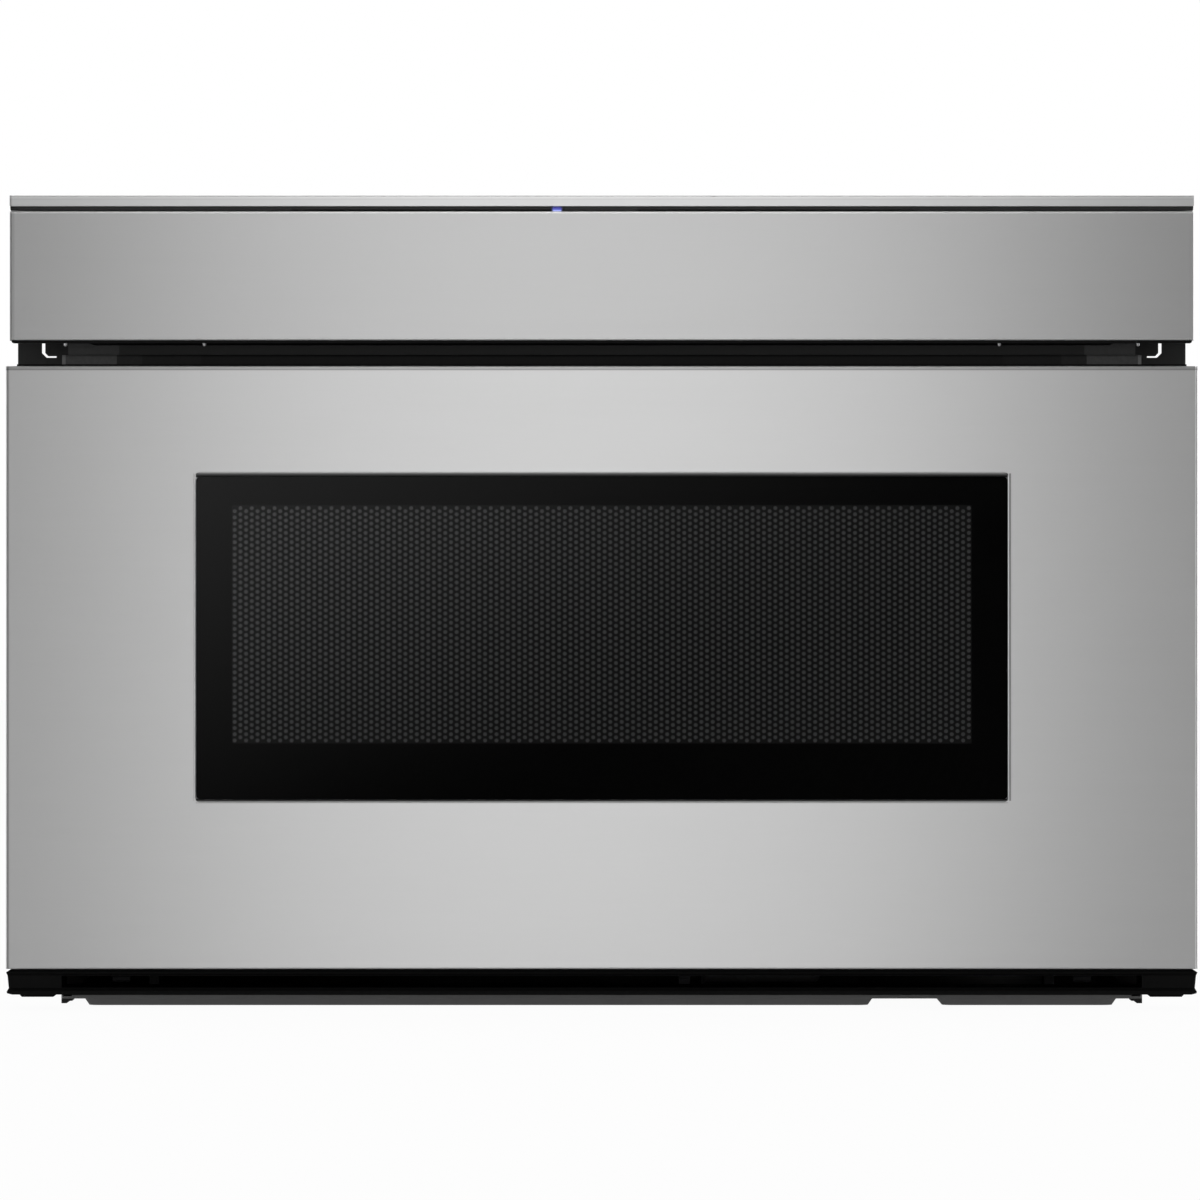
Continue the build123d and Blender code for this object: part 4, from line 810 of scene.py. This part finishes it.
def circle_line(x, y, radius):
    """A circle's outline."""
    return circle(x, y, radius), circle(x, y, radius - print_width)


def box_line(x, y, width, height, radius):
    """A rounded rectangle's outline."""
    inner = (width - 2 * print_width, height - 2 * print_width, radius - print_width)
    return rounded_box(x, y, width, height, radius), rounded_box(x, y, *inner)


def rays(x, y, count, near, far):
    """Short bars that point away from a centre."""
    middle = (near + far) / 2
    turns = [2 * math.pi * step / count for step in range(count)]
    centres = [(x + middle * math.cos(turn), y + middle * math.sin(turn)) for turn in turns]
    return [bar(*place, far - near, print_width, math.degrees(turn)) for place, turn in zip(centres, turns)]


def steps_mark(x, y):
    """Three bars of growing height."""
    places = [(x + 1.7 * (step - 1), y - 0.6 + 0.5 * step) for step in range(3)]
    return filled(*(rounded_box(*place, 1.0, 1.6 + step) for step, place in enumerate(places)))


def clock_mark(x, y):
    """A dial with two hands."""
    hands = filled(bar(x, y + 0.75, 1.5, print_width, 90), bar(x + 0.5, y, 1.0, print_width))
    return [circle_line(x, y, 2.4)] + hands


def cold_mark(x, y):
    """A star of three lines."""
    return filled(*(bar(x, y, 4.8, print_width, angle) for angle in (0, 60, 120)))


def warm_mark(x, y):
    """A disc with rays."""
    return filled(circle(x, y, 1.1), *rays(x, y, count=8, near=1.6, far=2.5))


def heat_mark(x, y):
    """Three upright strokes."""
    return filled(*(rounded_box(x + 1.6 * (step - 1), y, 0.5, 4.2, 0.25) for step in range(3)))


def drop_mark(x, y):
    """A drop: a disc with a point on top."""
    return filled(circle(x, y - 0.7, 1.5), circle(x, y + 0.75, 1.25, start=90, corners=3))


def lock_mark(x, y):
    """A padlock."""
    shackle = [bar(x + side * 1.1, y + 1.3, 1.8, 0.4, 90) for side in (-1, 1)]
    return filled(rounded_box(x, y - 0.9, 3.6, 2.6, 0.4), *shackle, bar(x, y + 2.4, 2.6, 0.4))


def dots_mark(x, y):
    """Three dots in a row."""
    return filled(*(circle(x + 1.8 * step, y, 0.6) for step in (-1, 0, 1)))


def dot_mark(x, y):
    """A single dot."""
    return filled(circle(x, y, 0.6))


def minus_mark(x, y):
    """A level bar."""
    return filled(bar(x, y, 4.0, 0.6))


def plus_mark(x, y):
    """A level bar with an upright one above and below it."""
    return minus_mark(x, y) + filled(*(bar(x, y + side * 1.15, 1.7, 0.6, 90) for side in (1, -1)))


def up_mark(x, y):
    """A triangle that points up."""
    return filled(circle(x, y - 0.4, 2.3, start=90, corners=3))


def down_mark(x, y):
    """A triangle that points down."""
    return filled(circle(x, y + 0.4, 2.3, start=270, corners=3))


def start_mark(x, y):
    """A triangle that points right."""
    return filled(circle(x - 0.4, y, 2.4, start=0, corners=3))


def stop_mark(x, y):
    """A square."""
    return filled(rounded_box(x, y, 3.4, 3.4, 0.3))


def printed(name, shapes, material):
    """Thin printed shapes on the touch glass, each a loop and the loop of its hole or None."""
    points = []
    faces = []
    levels = (touch_high.z - print_depth, touch_high.z + print_height)
    for outer, inner in shapes:
        loops = []
        for outline in (outer, inner) if inner else (outer,):
            for level in levels:
                loops.append(list(range(len(points), len(points) + len(outline))))
                points += [(x * mm, y * mm, level) for x, y in outline]
        walls = [(0, 1)]
        if inner:
            walls += [(1, 3), (3, 2), (2, 0)]
        else:
            faces += [loops[0], loops[1]]
        for first, second in walls:
            faces += wall(loops[first], loops[second])
    turn_outwards(new_piece(name, points, faces, [material], "control_panel"))


marks = []
for y, programme_marks in (
    (upper_row, (heat_mark, cold_mark, warm_mark, drop_mark, steps_mark)),
    (lower_row, (clock_mark, dots_mark, lock_mark, minus_mark, plus_mark)),
):
    for step, mark in enumerate(programme_marks):
        x = programme_start + programme_pitch * step
        marks.append(box_line(x, y, *programme_size))
        marks += mark(x, y)
for y in (upper_row, lower_row):
    for step in range(5):
        x = round_key_start + round_key_pitch * step
        marks.append(circle_line(x, y, round_key_radius))
        marks += dot_mark(x, y)
for x, y, mark in (
    (level_x, upper_row, up_mark),
    (level_x, lower_row, down_mark),
    (start_x, upper_row, start_mark),
    (start_x, lower_row, stop_mark),
):
    marks.append(box_line(x, y, *control_size))
    marks += mark(x, y)
marks.append(box_line(0, display_y, *display_size))
printed("touch_marks", marks, print_white)

# The display's unlit segments: four digits with a colon in the middle
segments = []
for x in digit_x:
    for level in (-1, 0, 1):
        segments.append(bar(x, display_y + 2 * segment_rise * level, segment_length, segment_width))
    for side in (-1, 1):
        for level in (-1, 1):
            place = (x + side * segment_side, display_y + segment_rise * level)
            segments.append(bar(*place, segment_height, segment_width, 90))
for level in (-1, 1):
    segments.append(circle(0, display_y + colon_rise * level, colon_radius))
printed("display_segments", filled(*segments), print_dim)

# ---------------------------------------------------------------- stage

floor_size = 12.0
floor_front = -3.0
floor_level = -0.0002
floor_white = 0.96
mirrored_white = 0.15


def floor_finish():
    """White for the camera. Metal and glass see a little of that white over the lit floor."""
    material = new_material("floor", grey(0.8), 0.9)
    ray = add_node(material, "ShaderNodeLightPath").outputs
    direct = calculated(material, "MULTIPLY", ray["Is Camera Ray"], floor_white)
    shiny = calculated(material, "MAXIMUM", ray["Is Glossy Ray"], ray["Is Transmission Ray"])
    mirrored = calculated(material, "MULTIPLY", shiny, mirrored_white)
    white = add_node(material, "ShaderNodeEmission")
    mix_shaders(material, calculated(material, "MAXIMUM", direct, mirrored), white.outputs["Emission"])
    return material


def stage_plane(name, points, material):
    """A plane that isn't part of the object."""
    mesh = bpy.data.meshes.new(name)
    mesh.from_pydata(points, [], [list(range(len(points)))])
    plane = bpy.data.objects.new(name, mesh)
    mesh.materials.append(material)
    bpy.context.scene.collection.objects.link(plane)


stage_plane(
    "floor",
    [
        (-floor_size, floor_front, floor_level),
        (floor_size, floor_front, floor_level),
        (floor_size, floor_size, floor_level),
        (-floor_size, floor_size, floor_level),
    ],
    floor_finish(),
)


def area_light(name, place, aim, size, power, mirrored=True):
    """A rectangular soft light that shines from a place towards its aim."""
    data = bpy.data.lights.new(name, "AREA")
    data.shape = "RECTANGLE"
    data.size, data.size_y = size
    data.energy = power
    light = bpy.data.objects.new(name, data)
    light.location = place
    direction = Vector(aim) - Vector(place)
    light.rotation_euler = direction.to_track_quat("-Z", "Y").to_euler()
    light.visible_camera = False
    light.visible_glossy = mirrored
    light.visible_transmission = mirrored
    bpy.context.scene.collection.objects.link(light)


area_light("key", (-0.03, -6.3, 2.2), aim=(0, -0.3, 0.2), size=(1.15, 3.6), power=43.0)
area_light("front_fill", (0, -7.0, 0.25), aim=(0, 0, 0.25), size=(1.6, 1.2), power=100.0, mirrored=False)
area_light("overhead", (0, 0.2, 3.0), aim=(0, 0, 0.2), size=(3.6, 3.4), power=36.0)
area_light("left_fill", (-3.0, 1.4, 1.0), aim=(0, 0.1, 0.2), size=(2.4, 2.0), power=22.0)
area_light("right_fill", (3.0, 1.4, 1.0), aim=(0, 0.1, 0.2), size=(2.4, 2.0), power=22.0)
area_light("rear_fill", (0, 3.0, 1.4), aim=(0, 0, 0.2), size=(2.4, 1.6), power=20.0, mirrored=False)

# The camera sees white all round. Metal and glass see white behind the object, and in front of it a
# dark room with a light patch, low at the left. All else gets an even light.
even_light = 0.32
room_dark = 0.010
room_light = 0.85
room_slope = (-1.0, 0.0, 1.9)
patch_edge = (-0.04, 0.21)
patch_top = (0.03, 0.12)
room_end = (-0.5, 0.5)

world = bpy.data.worlds.new("studio")
world.use_nodes = True
bpy.context.scene.world = world
background = world.node_tree.nodes["Background"]
background.inputs["Color"].default_value = (1, 1, 1, 1)

ray = add_node(world, "ShaderNodeLightPath").outputs
direction = add_node(world, "ShaderNodeTexCoord").outputs["Generated"]
heading = add_node(world, "ShaderNodeSeparateXYZ", {"Vector": direction}).outputs
sloped = add_node(world, "ShaderNodeVectorMath", {0: direction, 1: room_slope}, operation="DOT_PRODUCT")
soft = {"interpolation_type": "SMOOTHSTEP"}
patch = ranged(world, sloped.outputs["Value"], room_dark, room_light, *patch_edge, **soft)
above = ranged(world, heading["Z"], 0, 1, *patch_top, **soft)
behind = ranged(world, heading["Y"], 0, 1, *room_end, **soft)
mirrored = between(world, behind, between(world, above, patch, room_dark), 1.0)
shiny = calculated(world, "MAXIMUM", ray["Is Glossy Ray"], ray["Is Transmission Ray"])
seen = between(world, shiny, even_light, mirrored)
shown = between(world, ray["Is Camera Ray"], seen, 1.0)
link(world, shown, background.inputs["Strength"])

bpy.context.scene.view_settings.view_transform = "Standard"
